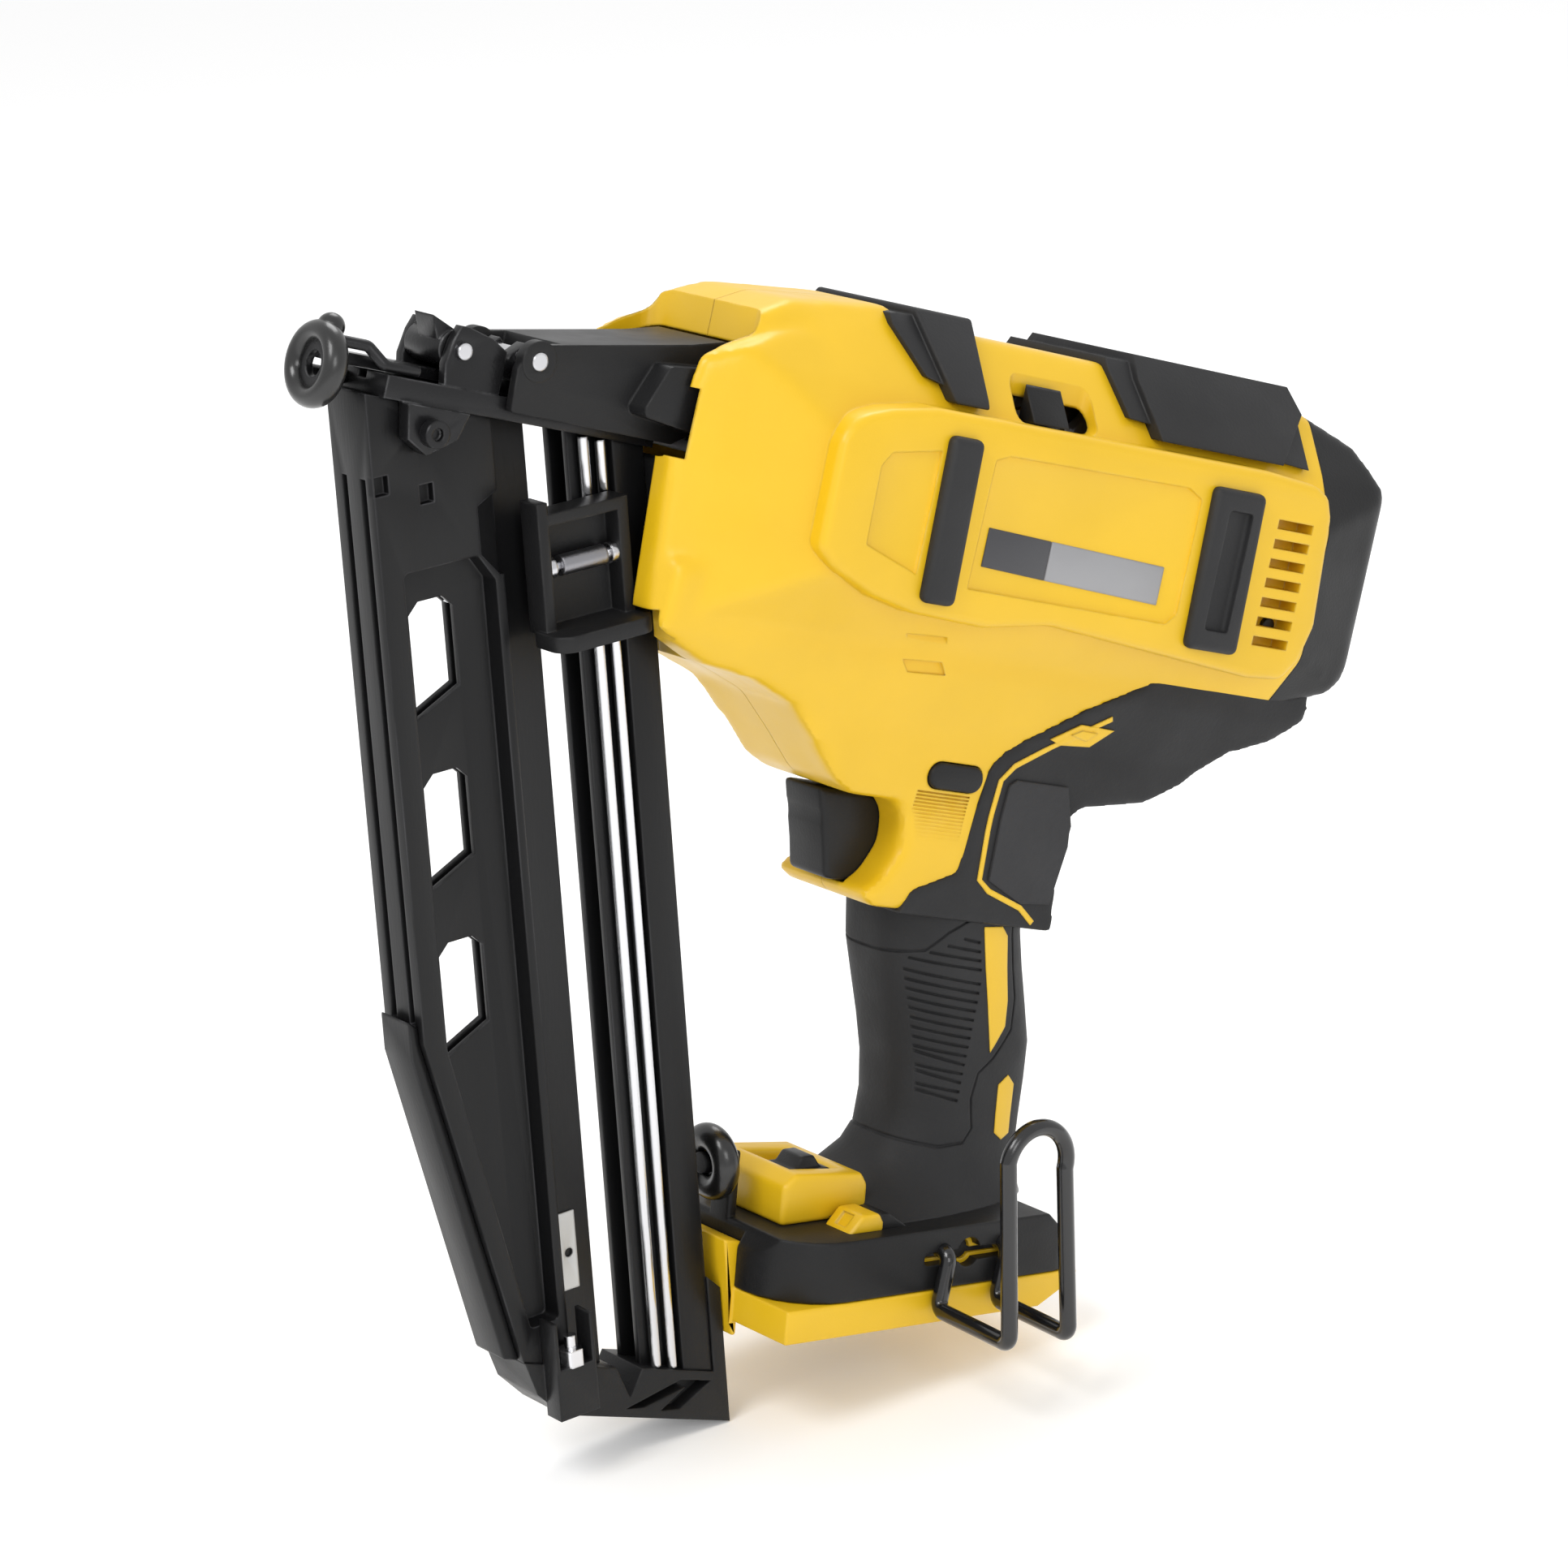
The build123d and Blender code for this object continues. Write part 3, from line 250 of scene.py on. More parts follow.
def both_sides(maker):
    """A piece made for y > 0 together with its mirror image."""
    piece = maker()
    return gather(piece, mirrored(piece))


def twin(piece):
    """A copy with its own mesh."""
    other = piece.copy()
    other.data = piece.data.copy()
    bpy.context.scene.collection.objects.link(other)
    return other


def mirrored(piece):
    """The same piece on the other side of the tool."""
    other = twin(piece)
    pick(other)
    other.scale = (1, -1, 1)
    settle(other)
    bpy.ops.object.mode_set(mode="EDIT")
    bpy.ops.mesh.select_all(action="SELECT")
    bpy.ops.mesh.normals_make_consistent(inside=False)
    bpy.ops.object.mode_set(mode="OBJECT")
    return other


def tilted(piece):
    """From the level drive line to its slope on the tool."""
    piece.rotation_euler = (0, NOSE_UP, 0)
    return settle(piece)


def on_foot(piece):
    """From the foot's own level bottom to the drive line's frame."""
    piece.rotation_euler = (0, -FOOT_RISE, 0)
    settle(piece)
    piece.location = Vector(FOOT_PLACE) * MM
    return settle(piece)


def from_node(node):
    """A merged copy of a CAD node to work on."""
    source = frame["nodes"][node]
    piece = bpy.data.objects.new("draft", source.data.copy())
    bpy.context.scene.collection.objects.link(piece)
    return tidy_mesh(piece)


def present(piece, name, body, finish, slot, *nodes, angle=30):
    """Name the finished piece, give it its finish and hang it on its body."""
    pick(piece)
    bpy.ops.object.shade_smooth_by_angle(angle=radians(angle))
    piece.name = name
    piece.data.name = name
    piece.data.materials.clear()
    piece.data.materials.append(finish)
    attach(piece, body)
    if nodes:
        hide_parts(*nodes)
    return piece


# ---- finishes -----------------------------------------------------------------------------------
def finish(name, colour, roughness, metallic=0.0, grain=1400.0, relief=0.25, mottle=0.05, patchy=0.07,
           worn=(0.5, 0.5, 0.5), wear=0.12, coat=0.0, stretch=(1, 1, 1), sheen=0.5):
    """A moulded or machined surface: fine relief, uneven gloss, faint mottling and rubbed edges."""
    material = bpy.data.materials.new(name)
    material.use_nodes = True
    nodes, links = material.node_tree.nodes, material.node_tree.links
    shader = nodes["Principled BSDF"]
    shader.inputs["Metallic"].default_value = metallic
    shader.inputs["Coat Weight"].default_value = coat
    shader.inputs["Specular IOR Level"].default_value = sheen
    shader.inputs["Coat Roughness"].default_value = 0.12
    place = nodes.new("ShaderNodeTexCoord")
    spread = nodes.new("ShaderNodeMapping")
    spread.inputs["Scale"].default_value = stretch
    links.new(place.outputs["Object"], spread.inputs["Vector"])

    def noise(scale, detail):
        texture = nodes.new("ShaderNodeTexNoise")
        texture.inputs["Scale"].default_value = scale
        texture.inputs["Detail"].default_value = detail
        links.new(spread.outputs["Vector"], texture.inputs["Vector"])
        return texture.outputs["Fac"]

    def ranged(value, low, high, new_low, new_high):
        node = nodes.new("ShaderNodeMapRange")
        links.new(value, node.inputs["Value"])
        for socket, number in zip(("From Min", "From Max", "To Min", "To Max"),
                                  (low, high, new_low, new_high)):
            node.inputs[socket].default_value = number
        return node.outputs["Result"]

    def mixed(factor, a, b):
        node = nodes.new("ShaderNodeMix")
        node.data_type = "RGBA"
        links.new(factor, node.inputs["Factor"])
        for socket, value in zip(("A", "B"), (a, b)):
            target = [s for s in node.inputs if s.name == socket and s.type == "RGBA"][0]
            if isinstance(value, tuple):
                target.default_value = (*value, 1)
            else:
                links.new(value, target)
        return [s for s in node.outputs if s.type == "RGBA"][0]

    darker = tuple(c * (1 - mottle) for c in colour)
    lighter = tuple(min(1, c * (1 + mottle) + mottle * 0.02) for c in colour)
    body = mixed(ranged(noise(28, 3), 0.35, 0.65, 0, 1), darker, lighter)
    edge = nodes.new("ShaderNodeBevel")
    edge.samples = 4
    edge.inputs["Radius"].default_value = 0.0008
    geometry = nodes.new("ShaderNodeNewGeometry")
    facing = nodes.new("ShaderNodeVectorMath")
    facing.operation = "DOT_PRODUCT"
    links.new(edge.outputs["Normal"], facing.inputs[0])
    links.new(geometry.outputs["Normal"], facing.inputs[1])
    rubbed = ranged(facing.outputs["Value"], 0.99, 0.75, 0, 1)
    scuff = nodes.new("ShaderNodeMath")
    scuff.operation = "MULTIPLY"
    links.new(rubbed, scuff.inputs[0])
    links.new(ranged(noise(160, 4), 0.42, 0.62, 0, wear), scuff.inputs[1])
    links.new(mixed(scuff.outputs["Value"], body, worn), shader.inputs["Base Color"])
    gloss = ranged(noise(60, 5), 0.3, 0.7, roughness - patchy, roughness + patchy)
    links.new(gloss, shader.inputs["Roughness"])
    bump = nodes.new("ShaderNodeBump")
    bump.inputs["Strength"].default_value = relief
    bump.inputs["Distance"].default_value = 0.0002
    links.new(noise(grain, 2), bump.inputs["Height"])
    links.new(edge.outputs["Normal"], bump.inputs["Normal"])
    links.new(bump.outputs["Normal"], shader.inputs["Normal"])
    return material


YELLOW = finish("yellow_moulded_plastic", (0.74, 0.455, 0.008), 0.36, grain=1600, relief=0.12,
                worn=(0.98, 0.8, 0.25), wear=0.35, mottle=0.03)
BLACK = finish("black_moulded_plastic", (0.009, 0.009, 0.0095), 0.42, grain=1500, relief=0.22,
               worn=(0.09, 0.09, 0.09), wear=0.4, sheen=0.28)
OVERMOULD = finish("soft_black_overmould", (0.016, 0.016, 0.017), 0.6, grain=900, relief=0.4,
                   worn=(0.08, 0.08, 0.08), wear=0.3, sheen=0.3)
COARSE = finish("coarse_overmould", (0.03, 0.03, 0.032), 0.66, grain=420, relief=1.0,
                worn=(0.1, 0.1, 0.1), wear=0.3, sheen=0.3)
BUMPER = finish("bumper_rubber", (0.02, 0.02, 0.021), 0.55, grain=1100, relief=0.3,
                worn=(0.1, 0.1, 0.1), wear=0.3, sheen=0.3)
TIP = finish("nose_rubber", (0.008, 0.008, 0.008), 0.24, grain=500, relief=0.08, coat=0.3,
             worn=(0.05, 0.05, 0.05), wear=0.2)
MAGAZINE = finish("black_anodised_magazine", (0.006, 0.006, 0.0065), 0.36, metallic=0.0, grain=1500,
                  relief=0.14,
                  worn=(0.16, 0.16, 0.17), wear=0.5, stretch=(1, 1, 0.12), sheen=0.26)
STEEL_BLACK = finish("black_oxide_steel", (0.014, 0.014, 0.015), 0.3, metallic=0.5, grain=1300, relief=0.2,
                     worn=(0.35, 0.35, 0.36), wear=0.5)
BRIGHT = finish("bright_pin_steel", (0.62, 0.62, 0.64), 0.22, metallic=1.0, grain=1800, relief=0.08,
                worn=(0.8, 0.8, 0.8), wear=0.3)
POLISHED = finish("polished_rod", (0.72, 0.72, 0.74), 0.1, metallic=1.0, grain=2500, relief=0.04,
                  worn=(0.9, 0.9, 0.9), wear=0.1, stretch=(1, 1, 0.05))
CAST = finish("cast_aluminium", (0.42, 0.42, 0.44), 0.5, metallic=1.0, grain=900, relief=0.4,
              worn=(0.7, 0.7, 0.7), wear=0.4)
PLAIN_STEEL = finish("machined_steel", (0.4, 0.4, 0.42), 0.32, metallic=1.0, grain=1500, relief=0.15,
                     worn=(0.7, 0.7, 0.7), wear=0.4)
SPRING = finish("spring_steel", (0.3, 0.3, 0.32), 0.35, metallic=1.0)
COPPER = finish("winding_copper", (0.6, 0.26, 0.12), 0.35, metallic=1.0, grain=2200, relief=0.6)
BOARD = finish("green_board", (0.01, 0.12, 0.05), 0.4)
LENS = finish("lamp_lens", (0.75, 0.78, 0.8), 0.12, grain=400, relief=0.1, coat=0.5)
GLOSS_WIRE = finish("gloss_black_wire", (0.007, 0.007, 0.008), 0.16, metallic=0.2, grain=600, relief=0.05,
                    coat=0.6,
                    worn=(0.2, 0.2, 0.2), wear=0.2)
LABEL = finish("silver_plate", (0.5, 0.5, 0.49), 0.38, metallic=0.85, grain=1400, relief=0.12,
               worn=(0.85, 0.85, 0.85), wear=0.3, stretch=(0.1, 1, 1))
BLANK_LABEL = finish("blank_badge", (0.045, 0.045, 0.05), 0.4, grain=1600, relief=0.1)
BADGE_GREY = finish("grey_badge", (0.3, 0.3, 0.31), 0.4, metallic=0.3, grain=1600, relief=0.1)

SLOT_FINISH = {
    "yellow_plastic": YELLOW, "black_plastic": BLACK, "overmould": OVERMOULD, "bumper_rubber": BUMPER,
    "tip_rubber": TIP, "magazine_black": MAGAZINE, "dark_steel": STEEL_BLACK, "pin_steel": BRIGHT,
    "polished_rod": POLISHED, "cast_aluminium": CAST, "plain_steel": PLAIN_STEEL, "spring_steel": SPRING,
    "winding_copper": COPPER, "board_green": BOARD, "lamp_lens": LENS, "hook_paint": GLOSS_WIRE,
    "label_metal": LABEL,
}


def paint_cad_nodes():
    """Every node that stays as it is gets its slot's finish."""
    for part in frame["record"]["subparts"]:
        node = frame["nodes"][part["node"]]
        node.data.materials.clear()
        node.data.materials.append(SLOT_FINISH[part["material_slot"]])


# ---- housing ------------------------------------------------------------------------------------
NECK_SIDE = [(99, -30), (99, -47), (116, -54), (133, -56), (149, -61), (160, -70), (170, -79), (177, -81.8),
             (192, -81.8), (196, -86), (197, -94), (193, -102), (187, -107), (192, -110), (215, -109.5),
             (246, -106), (249, -82), (262, -70), (290, -30)]
NECK_END = [(-28, -36), (-27, -46), (-21.5, -62), (-19, -82), (-18, -112), (18, -112), (19, -82),
            (21.5, -62), (27, -46), (28, -36), (28, 10), (-28, 10)]
PANEL_SIDE = [(131, -20), (130.7, 7.5), (133, 11.5), (137, 14.5), (145, 17), (159, 19.3), (275, 20),
              (293, 18.8), (298, 16.5), (300.5, 11), (303, -18), (300, -28), (295, -33.6), (283, -34.4),
              (211, -29.5), (189, -32.8), (165, -32), (151, -29.5), (137, -24.5)]
COVER_SIDE = [(318, -35), (304, -37.8), (266, -37.4), (242, -50.6), (222, -64.5), (218.5, -69),
              (218, -78), (217, -98), (203, -104), (200, -111), (254, -111), (249, -82), (254, -77),
              (275, -73.5), (286, -67), (298, -56.5), (310, -52), (320, -44)]
PANEL_Y = 41.5


def barrel(grow, x_low=80, x_high=345):
    piece = block((x_low, x_high), (-60, 60), (-60, 60))
    shave(piece, BARREL_SIDE, "xz", grow)
    shave(piece, BARREL_PLAN, "xy", grow)
    return shave(piece, BARREL_END, "yz", grow)


def neck_shape(outline, grow):
    return shave(profile(outline, -36, 36), NECK_END, "yz", grow)


def body_core():
    """Barrel, hump and neck as one flowing moulding, not yet hollow."""
    body = barrel(0.3)
    fuse(body, neck_shape(NECK_SIDE, 0.4))
    hump = block((100, 158), (-21, 21), (20, 42))
    shave(hump, [(100, 20), (158, 20), (158, 41.5), (124, 38.0), (104, 29)], "xz")
    shave(hump, [(-21, 20), (-21, 34), (-15, 42), (15, 42), (21, 34), (21, 20)], "yz")
    fuse(body, hump)
    return knit(body, 1.5, 9)


def rounded_block(x, y, z, width, segments=4):
    return soften(block(x, y, z), width, segments, 60)


def panel_cutters():
    """Recesses and air slots of one side panel, for y > 0."""
    depth = (PANEL_Y - 0.9, PANEL_Y + 4)
    label = soften(profile([(180.5, 9.3), (185, 11), (247, 11.8), (252.3, 9.5), (252.3, -21), (249, -24),
                            (180, -23.6)],
                           *depth), 0.45, 3)
    nook = soften(profile([(144.3, 2.8), (147, 6.5), (162.5, 9.1), (162.5, -22.2), (144.8, -17)], *depth),
                  0.45, 3)
    vents = [block((281, 293.8), (PANEL_Y - 6, PANEL_Y + 4),
                   (-25.5 + 5.2 * i, -23.0 + 5.2 * i)) for i in range(7)]
    ribs = [block((197, 215), (19.1, 26), (-78.5 - 0.95 * i, -78.05 - 0.95 * i)) for i in range(20)]
    bars = [profile([(173.1 + 3 * i, -37.9 - 6.8 * i), (186.1 + 3 * i, -37.2 - 6.8 * i),
                     (188.7 + 3 * i, -40.4 - 6.8 * i), (176.1 + 3 * i, -41.0 - 6.8 * i)], 29.6 - 3.2 * i, 60)
            for i in range(2)]
    return gather(label, nook, *vents, *ribs, *bars)


def lock_opening(grow=0.3):
    return rounded_block((199 - grow, 217 + grow), (-60, 60), (-77 - grow, -70 + grow), 3.4 + grow, 6)


def build_housing(core):
    shell = core
    fuse(shell, both_sides(lambda: soften(profile(PANEL_SIDE, 20, PANEL_Y), 2.4, 4, 12)))
    neck_hollow = [(103, -36), (103, -45), (117, -50), (137, -54), (161, -63), (176, -78), (198, -79),
                   (198, -104), (190, -112), (250, -112), (246, -82), (259, -68), (278, -36)]
    carve(shell, profile(neck_hollow, -15, 15), barrel(-3), block((CAP_X, 400), (-90, 90), (-150, 90)))
    nose_room = fuse(rounded_block((60, 114.8), (-22.2, 22.2), (-6, 70), 4.5),
                     block((50, 118.1), (-24.1, 24.1), (-5.3, 12.2)))
    carve(shell, nose_room)
    clearance = block((-60, 94.8), (-16.6, 16.6), (-420, 60))
    clearance.rotation_euler = (0, -NOSE_UP, 0)
    settle(clearance)
    carve(shell, shave(clearance, [(-300, -500), (400, -500), (400, -4.5), (-300, -4.5)], "xz"))
    # the pusher's thumb shelf stands out sideways and travels down past the left wall
    shelf_path = block((47, 82), (-25.4, -8), (-420, -73.4))
    shelf_path.rotation_euler = (0, -NOSE_UP, 0)
    settle(shelf_path)
    carve(shell, shelf_path)
    carve(shell, rounded_block((193.5, 222), (-60, -23), (19.6, 60), 3.0),
          block((160, 206), (-8.3, 8.3), (-106, -82)))
    carve(shell, both_sides(panel_cutters), lock_opening())
    return shell


def finish_housing(core):
    shell = build_housing(core)
    right = twin(shell)
    carve(shell, block((60, 400), (-0.08, 90), (-300, 90)))
    carve(right, block((60, 400), (-90, 0.08), (-300, 90)))
    for half, name in ((shell, "housing_left"), (right, "housing_right")):
        tilted(half)
        present(half, name + "_shell", "tool", YELLOW, "yellow_plastic", name)


def build_bumper(outline, under, name, node):
    """A rubber saddle over the top and shoulders, with a thinner layer under its front edge."""
    saddle = shave(barrel(4.4), outline, "xz")
    carve(saddle, barrel(-0.2))
    soften(saddle, 0.9, 3, 35)
    layer = shave(barrel(2.2), under, "xz")
    carve(layer, barrel(-0.15))
    soften(layer, 0.5, 2, 35)
    saddle = gather(saddle, layer)
    present(tilted(saddle), name, "tool", BUMPER, "bumper_rubber", node)


def side_bar(x, z, slotted):
    """One bar of the pair, for y > 0, leaning a little."""
    lean = 0.03 * (z[1] - z[0])
    outline = [(x[0] + lean, z[0]), (x[1] + lean, z[0]), (x[1], z[1]), (x[0], z[1])]
    bar = soften(profile(outline, PANEL_Y - 1.2, PANEL_Y + 3.0), 2.0, 4, 60)
    if slotted:
        hole = rounded_block((x[0] + 5.2, x[1] - 4.2), (PANEL_Y + 0.8, 60), (z[0] + 5.5, z[1] - 5.5), 1.0, 3)
        carve(bar, hole)
    return bar


def build_side_bars(x, z, slotted, name, node):
    bars = both_sides(lambda: side_bar(x, z, slotted))
    present(tilted(bars), name, "tool", BUMPER, "bumper_rubber", node)


def build_rear_cap(core):
    cup = core
    carve(cup, barrel(-3), block((60, CAP_X + 0.2), (-90, 90), (-150, 90)))
    slots = [block((306, 330), (-23 + 12.3 * i, -14 + 12.3 * i), (-70, -30)) for i in range(4)]
    grille = [block((329, 345), (-16, 16), (-15 + 5 * i, -13.2 + 5 * i)) for i in range(5)]
    carve(cup, gather(*slots, *grille))
    present(tilted(cup), "rear_end_cap", "tool", BLACK, "black_plastic", "rear_cap")


def build_side_label():
    """Plain two-tone plate, without lettering, in each panel's recess."""
    depth = (PANEL_Y - 1.3, PANEL_Y - 0.55)
    def dark():
        return soften(profile([(183.5, -7.5), (205, -8.2), (205, -18.3), (183.5, -17.5)], *depth), 0.25, 2)
    def pale():
        return soften(profile([(205.1, -8.2), (245, -9.5), (245, -19.6), (205.1, -18.3)], *depth), 0.25, 2)
    present(tilted(both_sides(dark)), "plain_badge_dark", "tool", BLANK_LABEL, "black_plastic")
    present(tilted(both_sides(pale)), "plain_badge_grey", "tool", BADGE_GREY, "label_metal")


# ---- handle and foot ----------------------------------------------------------------------------
GRIP_STATIONS = [(-102, 203, 252, 17.8), (-108, 203.5, 252, 17.8), (-113, 204.5, 253.5, 17.4),
                 (-122, 206.5, 257, 17.0), (-132, 211, 261, 16.9), (-142, 215.5, 265, 16.6),
                 (-152, 219.5, 266.5, 16.2), (-162, 222, 267.5, 16.0), (-171, 222.5, 268.5, 16.2),
                 (-177, 220, 270, 17.5), (-183, 215, 272, 21.0), (-189, 206, 275, 27.5),
                 (-192, 198, 277, 32)]


def superellipse(station, grow, sides=56):
    z, front, rear, half = station
    points = []
    for i in range(sides):
        angle = 2 * pi * i / sides
        c, s = cos(angle), sin(angle)
        x = (front + rear) / 2 + ((rear - front) / 2 + grow) * (abs(c) ** 0.75) * (1 if c > 0 else -1)
        y = (half + grow) * (abs(s) ** 0.75) * (1 if s > 0 else -1)
        points.append(Vector((x, y, z)) * MM)
    return points


def handle(grow):
    """The handle, ring by ring from the neck to the foot."""
    deselect_all()
    first = superellipse(GRIP_STATIONS[0], grow)
    bpy.ops.mesh.primitive_circle_add(vertices=len(first), radius=1, fill_type="NGON")
    grip = bpy.context.active_object
    for vertex, point in zip(grip.data.vertices, first):
        vertex.co = point
    for station in GRIP_STATIONS[1:]:
        bpy.ops.object.mode_set(mode="EDIT")
        bpy.ops.mesh.extrude_region_move(TRANSFORM_OT_translate={"value": (0, 0, -MM)})
        bpy.ops.object.mode_set(mode="OBJECT")
        ring = [v for v in grip.data.vertices if v.select]
        for vertex, point in zip(ring, superellipse(station, grow)):
            vertex.co = point
    pick(grip)
    bpy.ops.object.mode_set(mode="EDIT")
    bpy.ops.mesh.select_all(action="SELECT")
    bpy.ops.mesh.normals_make_consistent(inside=False)
    bpy.ops.object.mode_set(mode="OBJECT")
    return grip


def skin_deep(cutter, depth):
    """Only the part of a cutter that lies within depth of the handle's surface."""
    return carve(cutter, handle(-depth))


INLAY_HIGH = [(231.8, -111.8), (238.5, -111.2), (241.5, -113.6), (246.5, -130.7), (247.5, -137.7),
              (244.2, -145.1)]
INLAY_LOW = [(250.1, -153.6), (253.1, -150.8), (256.4, -153.2), (258.5, -166.5), (255.6, -168.4),
             (252.4, -166.7)]


def trigger_room():
    """The space behind the trigger that it slides into when it is pulled."""
    return block((160, 206.6), (-8.5, 8.5), (-106.4, -81.6))


def build_grip():
    grip = handle(0)
    grooves = []
    for i in range(14):
        z = -124.5 - 2.45 * i
        front = 190 if i % 2 == 0 or i < 9 else 219
        grooves.append(profile([(front, z), (235.5 + 0.14 * i, z - 2.3), (235.5 + 0.14 * i, z - 3.0),
                                (front, z - 0.8)],
                               -40, 40))
    for i in range(4):
        z = -115.2 - 2.4 * i
        grooves.append(profile([(226 - 4.6 * i, z), (232 + 0.9 * i, z - 0.6), (232 + 0.9 * i, z - 1.3),
                                (226 - 4.6 * i, z - 0.7)], -40, 40))
    bars = gather(*grooves)
    carve(bars, block((190, 400), (-11.5, 11.5), (-300, 0)))
    carve(grip, skin_deep(bars, 0.65))
    seam_high = profile(ribbon([(190, -118.5), (200, -121), (207, -122.5), (215.5, -120.1), (220.7, -114.4),
                                (226.5, -110.3), (236, -109.6), (243, -110.5), (244, -114), (249.7, -130),
                                (250.4, -138.5), (246, -146.5), (242, -151), (241.5, -158), (244, -166),
                                (242, -170), (234.6, -171.8), (223, -171.6), (213, -170), (200, -166)],
                                0.8), -40, 40)
    carve(grip, skin_deep(seam_high, 0.5))
    foot_cut = on_foot(block((-60, 160), (-60, 60), (-60, 25.3)))
    carve(grip, foot_cut, trigger_room())
    present(tilted(grip), "grip_overmould", "tool", OVERMOULD, "overmould", "grip_skin", angle=40)
    inlays = []
    for outline in (INLAY_HIGH, INLAY_LOW):
        inlay = combine(profile(outline, -40, 40), handle(0.22), "INTERSECT")
        inlays.append(carve(inlay, handle(-1.0)))
    present(tilted(gather(*inlays)), "grip_inlays", "tool", YELLOW, "yellow_plastic", angle=40)


def build_under_body():
    """Black overmould behind the neck and under the barrel, with its textured pad, line and badge."""
    cover = neck_shape(COVER_SIDE, 1.3)
    knit(cover, 1.2, 5)
    carve(cover, barrel(-0.5), lock_opening(), trigger_room())
    exhaust = [block((301 + 8.6 * i, 307.5 + 8.6 * i), (-26, 26), (-46, -36.5)) for i in range(2)]
    carve(cover, gather(*exhaust))
    present(tilted(cover), "neck_overmould", "tool", OVERMOULD, "overmould", "under_body", angle=35)
    line = profile(ribbon([(252, -51.8), (239.1, -60.0), (226, -68.2), (222.8, -72.5), (223.2, -86),
                           (224.4, -99.3),
                           (228.5, -102.0), (240.6, -105.4), (246, -109)], 1.5), -40, 40)
    badge = profile([(234.5, -59.8), (242.6, -54.6), (254.4, -54.9), (248.6, -60.3), (238.6, -61.0)], -40,
                    40)
    stud = profile([(240.5, -57.8), (243.5, -56.2), (249.0, -56.4), (246.4, -58.8)], -40, 40)
    trims = []
    for shape, grow in ((line, 1.6), (badge, 1.7), (stud, 2.1)):
        shave(shape, NECK_END, "yz", grow)
        trims.append(carve(shape, neck_shape([(150, 20), (350, 20), (350, -150), (150, -150)], 0.3)))
    present(tilted(gather(*trims)), "yellow_trim", "tool", YELLOW, "yellow_plastic", angle=35)
    pad = profile([(226.0, -73.5), (228, -71.8), (246, -71.8), (252, -84), (250, -103.5), (240, -104.2),
                   (227.4, -99.2)],
                  -40, 40)
    shave(pad, NECK_END, "yz", 2.0)
    shave(pad, [(220, -60), (251.5, -60), (251.0, -84), (256.0, -112), (220, -112)], "xz")
    soften(pad, 0.9, 3, 25)
    present(tilted(pad), "textured_rear_pad", "tool", COARSE, "overmould", angle=35)


def rounded_plan(radius_front, radius_rear, length, half):
    """The foot's outline seen from above, with arcs at its corners."""
    points = []
    corners = ((radius_front, -1, -1), (radius_rear, 1, -1), (radius_rear, 1, 1), (radius_front, -1, 1))
    starts = (pi, 1.5 * pi, 0, 0.5 * pi)
    for (radius, sx, sy), start in zip(corners, starts):
        cx = radius if sx < 0 else length - radius
        cy = sy * (half - radius)
        for i in range(7):
            angle = start + i * pi / 12
            points.append((cx + radius * cos(angle), cy + radius * sin(angle)))
    return points


def build_foot():
    cover = block((-5, 100), (-40, 40), (0, 40))
    shave(cover, [(0, 9.2), (0, 20), (3, 25.5), (86, 25.5), (98, 14.5), (97.5, 9.2)], "xz")
    shave(cover, rounded_plan(19, 9, 98, 35), "xy")
    soften(cover, 3.2, 4, 25)
    slot = rounded_block((44, 73), (-40, -30.5), (15.8, 19.4), 1.6)
    eye = rod((59, -40, 18.2), (59, -30.5, 18.2), 4.0)
    carve(cover, slot, eye, block((-20, 2.2), (-12.2, 12.2), (0, 24)))
    peg = soften(block((2.4, 5.4), (-4, 4), (20, 43)), 0.8, 2)
    fuse(cover, peg, rod((-5, 0, 39.8), (3, 0, 39.8), 2.8))
    present(tilted(on_foot(cover)), "foot_shell", "tool", BLACK, "black_plastic", "foot_cover")
    liner = soften(profile([(40, 13), (78, 13), (78, 23), (40, 23)], -31.6, -29.5), 0.5, 2)
    carve(liner, rounded_block((45.5, 71.5), (-40, -20), (16.8, 18.4), 0.7),
          rod((59, -40, 18.2), (59, -20, 18.2), 2.8))
    present(tilted(on_foot(liner)), "hook_slot_liner", "tool", YELLOW, "yellow_plastic")
    base = from_node("foot_base")
    soften(base, 0.9, 3, 30)
    present(base, "foot_base_rails", "tool", YELLOW, "yellow_plastic", "foot_base")


def build_lamp():
    """Yellow bezel with its lens and the black wedge behind it, on the foot's left top edge."""
    wedge = soften(profile([(31, 25.0), (33.5, 29.6), (36, 29.6), (43, 25.0)], -29, -19), 0.6, 2)
    bezel = soften(profile([(22.5, 25.0), (27, 30.0), (32.5, 30.0), (34.0, 27.5), (34, 25.0)], -29.5,
                           -18.5), 0.9, 3)
    carve(bezel, profile([(20, 30.5), (24.3, 26.0), (26.8, 29.0), (24, 33)], -26.2, -21.8))
    lens = soften(profile([(24.6, 26.0), (27.0, 28.7), (28.5, 27.5), (26, 25.2)], -26.0, -22.0), 0.4, 2)
    present(tilted(on_foot(wedge)), "lamp_wedge", "tool", BLACK, "black_plastic")
    present(tilted(on_foot(bezel)), "lamp_bezel", "tool", YELLOW, "yellow_plastic")
    present(tilted(on_foot(lens)), "work_lamp", "tool", LENS, "lamp_lens", "work_light")


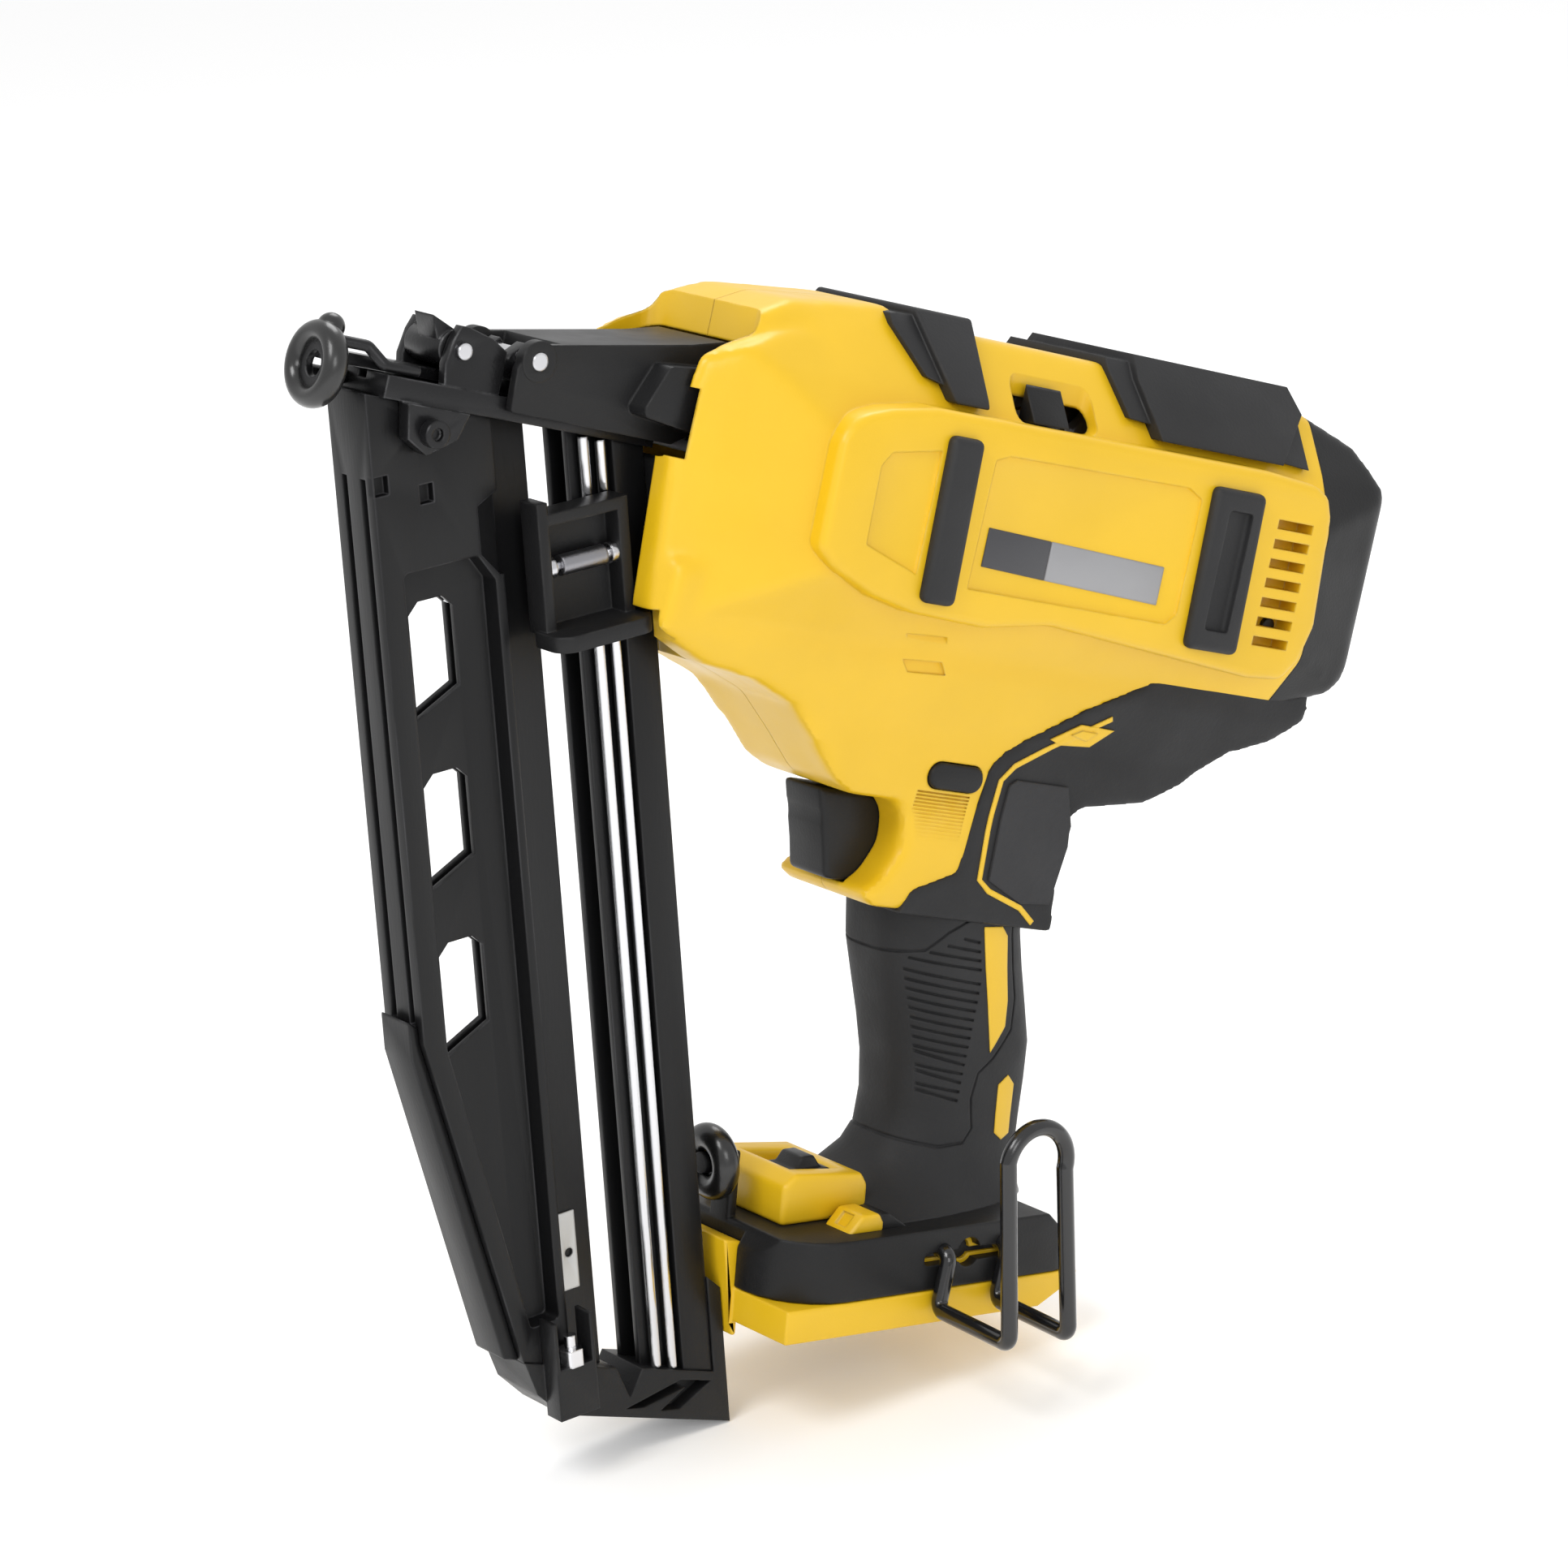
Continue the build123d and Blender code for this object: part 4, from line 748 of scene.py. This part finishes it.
# ---- every other piece: the CAD shape with its edges worked ------------------------------------------
WORKED = [
    ("magazine_box", "magazine_front_box", "tool", MAGAZINE, "magazine_black", 0.5, 2),
    ("magazine_rail", "magazine_rear_rail", "tool", MAGAZINE, "magazine_black", 0.5, 2),
    ("magazine_brace", "magazine_strap", "tool", MAGAZINE, "magazine_black", 0.7, 2),
    ("magazine_end", "magazine_end_cap", "tool", BLACK, "black_plastic", 0.8, 2),
    ("magazine_guard", "magazine_cheek_guard", "tool", BLACK, "black_plastic", 1.2, 3),
    ("pusher_bracket", "pusher_thumb_bracket", "pusher", BLACK, "black_plastic", 0.6, 2),
    ("nose_frame", "nose_guide", "tool", STEEL_BLACK, "dark_steel", 0.4, 2),
    ("nose_door", "jam_door", "nose_door", STEEL_BLACK, "dark_steel", 0.5, 2),
    ("jam_latch_lever", "jam_latch_hood", "jam_latch", BLACK, "black_plastic", 1.2, 3),
    ("contact_trip", "contact_trip_frame", "contact_trip", STEEL_BLACK, "dark_steel", 0.35, 2),
    ("trigger", "finger_trigger", "trigger", BLACK, "black_plastic", 1.5, 3),
    ("trigger_lock", "trigger_lock_bar", "trigger_lock", BLACK, "black_plastic", 0.8, 3),
    ("selector_housing", "selector_block", "tool", YELLOW, "yellow_plastic", 1.4, 3),
    ("mode_selector", "selector_slide", "mode_selector", BLACK, "black_plastic", 0.7, 2),
    ("stall_lever", "stall_release_lever", "stall_lever", BLACK, "black_plastic", 0.4, 2),
    ("label_plate", "silver_wear_plate", "tool", LABEL, "label_metal", 0.12, 2),
]


def work_edges():
    for node, name, body, material, slot, width, segments in WORKED:
        piece = soften(from_node(node), width, segments, 30)
        present(piece, name, body, material, slot, node)


def build_contact_tip():
    deselect_all()
    bpy.ops.mesh.primitive_torus_add(major_segments=64, minor_segments=28, major_radius=0.0079,
                                     minor_radius=0.0027, rotation=(0, pi / 2, 0), location=(0.00325, 0, 0))
    ring = bpy.context.active_object
    settle(ring)
    ring.scale = (1.19, 1, 1)
    settle(ring)
    ring.location = (0.00325 * (1 - 1.19), 0, 0)
    settle(ring)
    deselect_all()
    bpy.ops.mesh.primitive_uv_sphere_add(segments=32, ring_count=20, radius=0.0034,
                                         location=(0.0052, 0, 0.0092))
    bulb = settle(bpy.context.active_object)
    fuse(ring, bulb)
    present(tilted(ring), "soft_nose_tip", "contact_trip", TIP, "tip_rubber", "contact_tip", angle=60)


# ---- room ---------------------------------------------------------------------------------------
def build_room():
    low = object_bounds()[0]
    deselect_all()
    bpy.ops.mesh.primitive_plane_add(size=30, location=(0.2, 0.4, low[2] - 0.0003))
    floor = bpy.context.active_object
    floor.name = "floor"
    paper = bpy.data.materials.new("pale_floor")
    paper.use_nodes = True
    paper.node_tree.nodes["Principled BSDF"].inputs["Base Color"].default_value = (0.96, 0.96, 0.96, 1)
    paper.node_tree.nodes["Principled BSDF"].inputs["Roughness"].default_value = 0.9
    paper.node_tree.nodes["Principled BSDF"].inputs["Emission Color"].default_value = (1, 1, 1, 1)
    paper.node_tree.nodes["Principled BSDF"].inputs["Emission Strength"].default_value = 0.12
    floor.data.materials.append(paper)
    world = bpy.data.worlds.new("pale_room")
    bpy.context.scene.world = world
    world.use_nodes = True
    world.node_tree.nodes["Background"].inputs["Color"].default_value = (1, 1, 1, 1)
    world.node_tree.nodes["Background"].inputs["Strength"].default_value = 0.85
    aim = Vector((0.16, 0, -0.13))
    lamps = (("key", (-0.8, -0.35, 1.1), 0.6, 9), ("front", (-0.3, -1.3, 0.5), 0.5, 3.5),
             ("rim", (0.8, 0.5, 1.0), 0.7, 6))
    for name, place, size, power in lamps:
        lamp = bpy.data.lights.new(name, "AREA")
        lamp.size = size
        lamp.energy = power
        light = bpy.data.objects.new(name, lamp)
        light.location = place
        light.rotation_euler = (aim - Vector(place)).to_track_quat("-Z", "Y").to_euler()
        bpy.context.scene.collection.objects.link(light)


def build_camera():
    camera = bpy.data.objects.new("camera", bpy.data.cameras.new("camera"))
    camera.data.lens = 119.5
    camera.data.sensor_width = 36
    camera.data.clip_start = 0.01
    right, down = Vector((0.7912, -0.6081, -0.0648)), Vector((-0.2359, -0.2056, -0.9498))
    forward = right.cross(down).normalized()
    turn = Matrix((right, -down, -forward)).transposed()
    camera.matrix_world = Matrix.Translation((-0.6221, -1.0228, 0.2718)) @ turn.to_4x4()
    bpy.context.scene.collection.objects.link(camera)
    bpy.context.scene.camera = camera
    bpy.context.scene.view_settings.view_transform = "Standard"


build_camera()
paint_cad_nodes()
moulding = body_core()
build_rear_cap(twin(moulding))
finish_housing(moulding)
build_bumper([(169.5, 21), (181, 21), (181, 60), (162, 60), (162, 41)],
             [(163, 26), (181, 22), (181, 60), (152, 60), (155, 37)], "front_shoulder_bumper",
             "front_top_bumper")
build_bumper([(241, 22), (285, 22), (297, 36), (285, 60), (237, 60), (237, 36)],
             [(233, 26), (297, 22), (297, 60), (228, 60), (229, 37)], "rear_shoulder_bumper",
             "rear_top_bumper")
build_side_bars((163.5, 174), (-28.7, 13.6), False, "front_panel_bars", "front_side_bars")
build_side_bars((255, 273), (-29, 13.8), True, "rear_panel_bars", "rear_side_bars")
build_side_label()
build_grip()
build_under_body()
build_foot()
build_lamp()
work_edges()
build_contact_tip()
build_room()
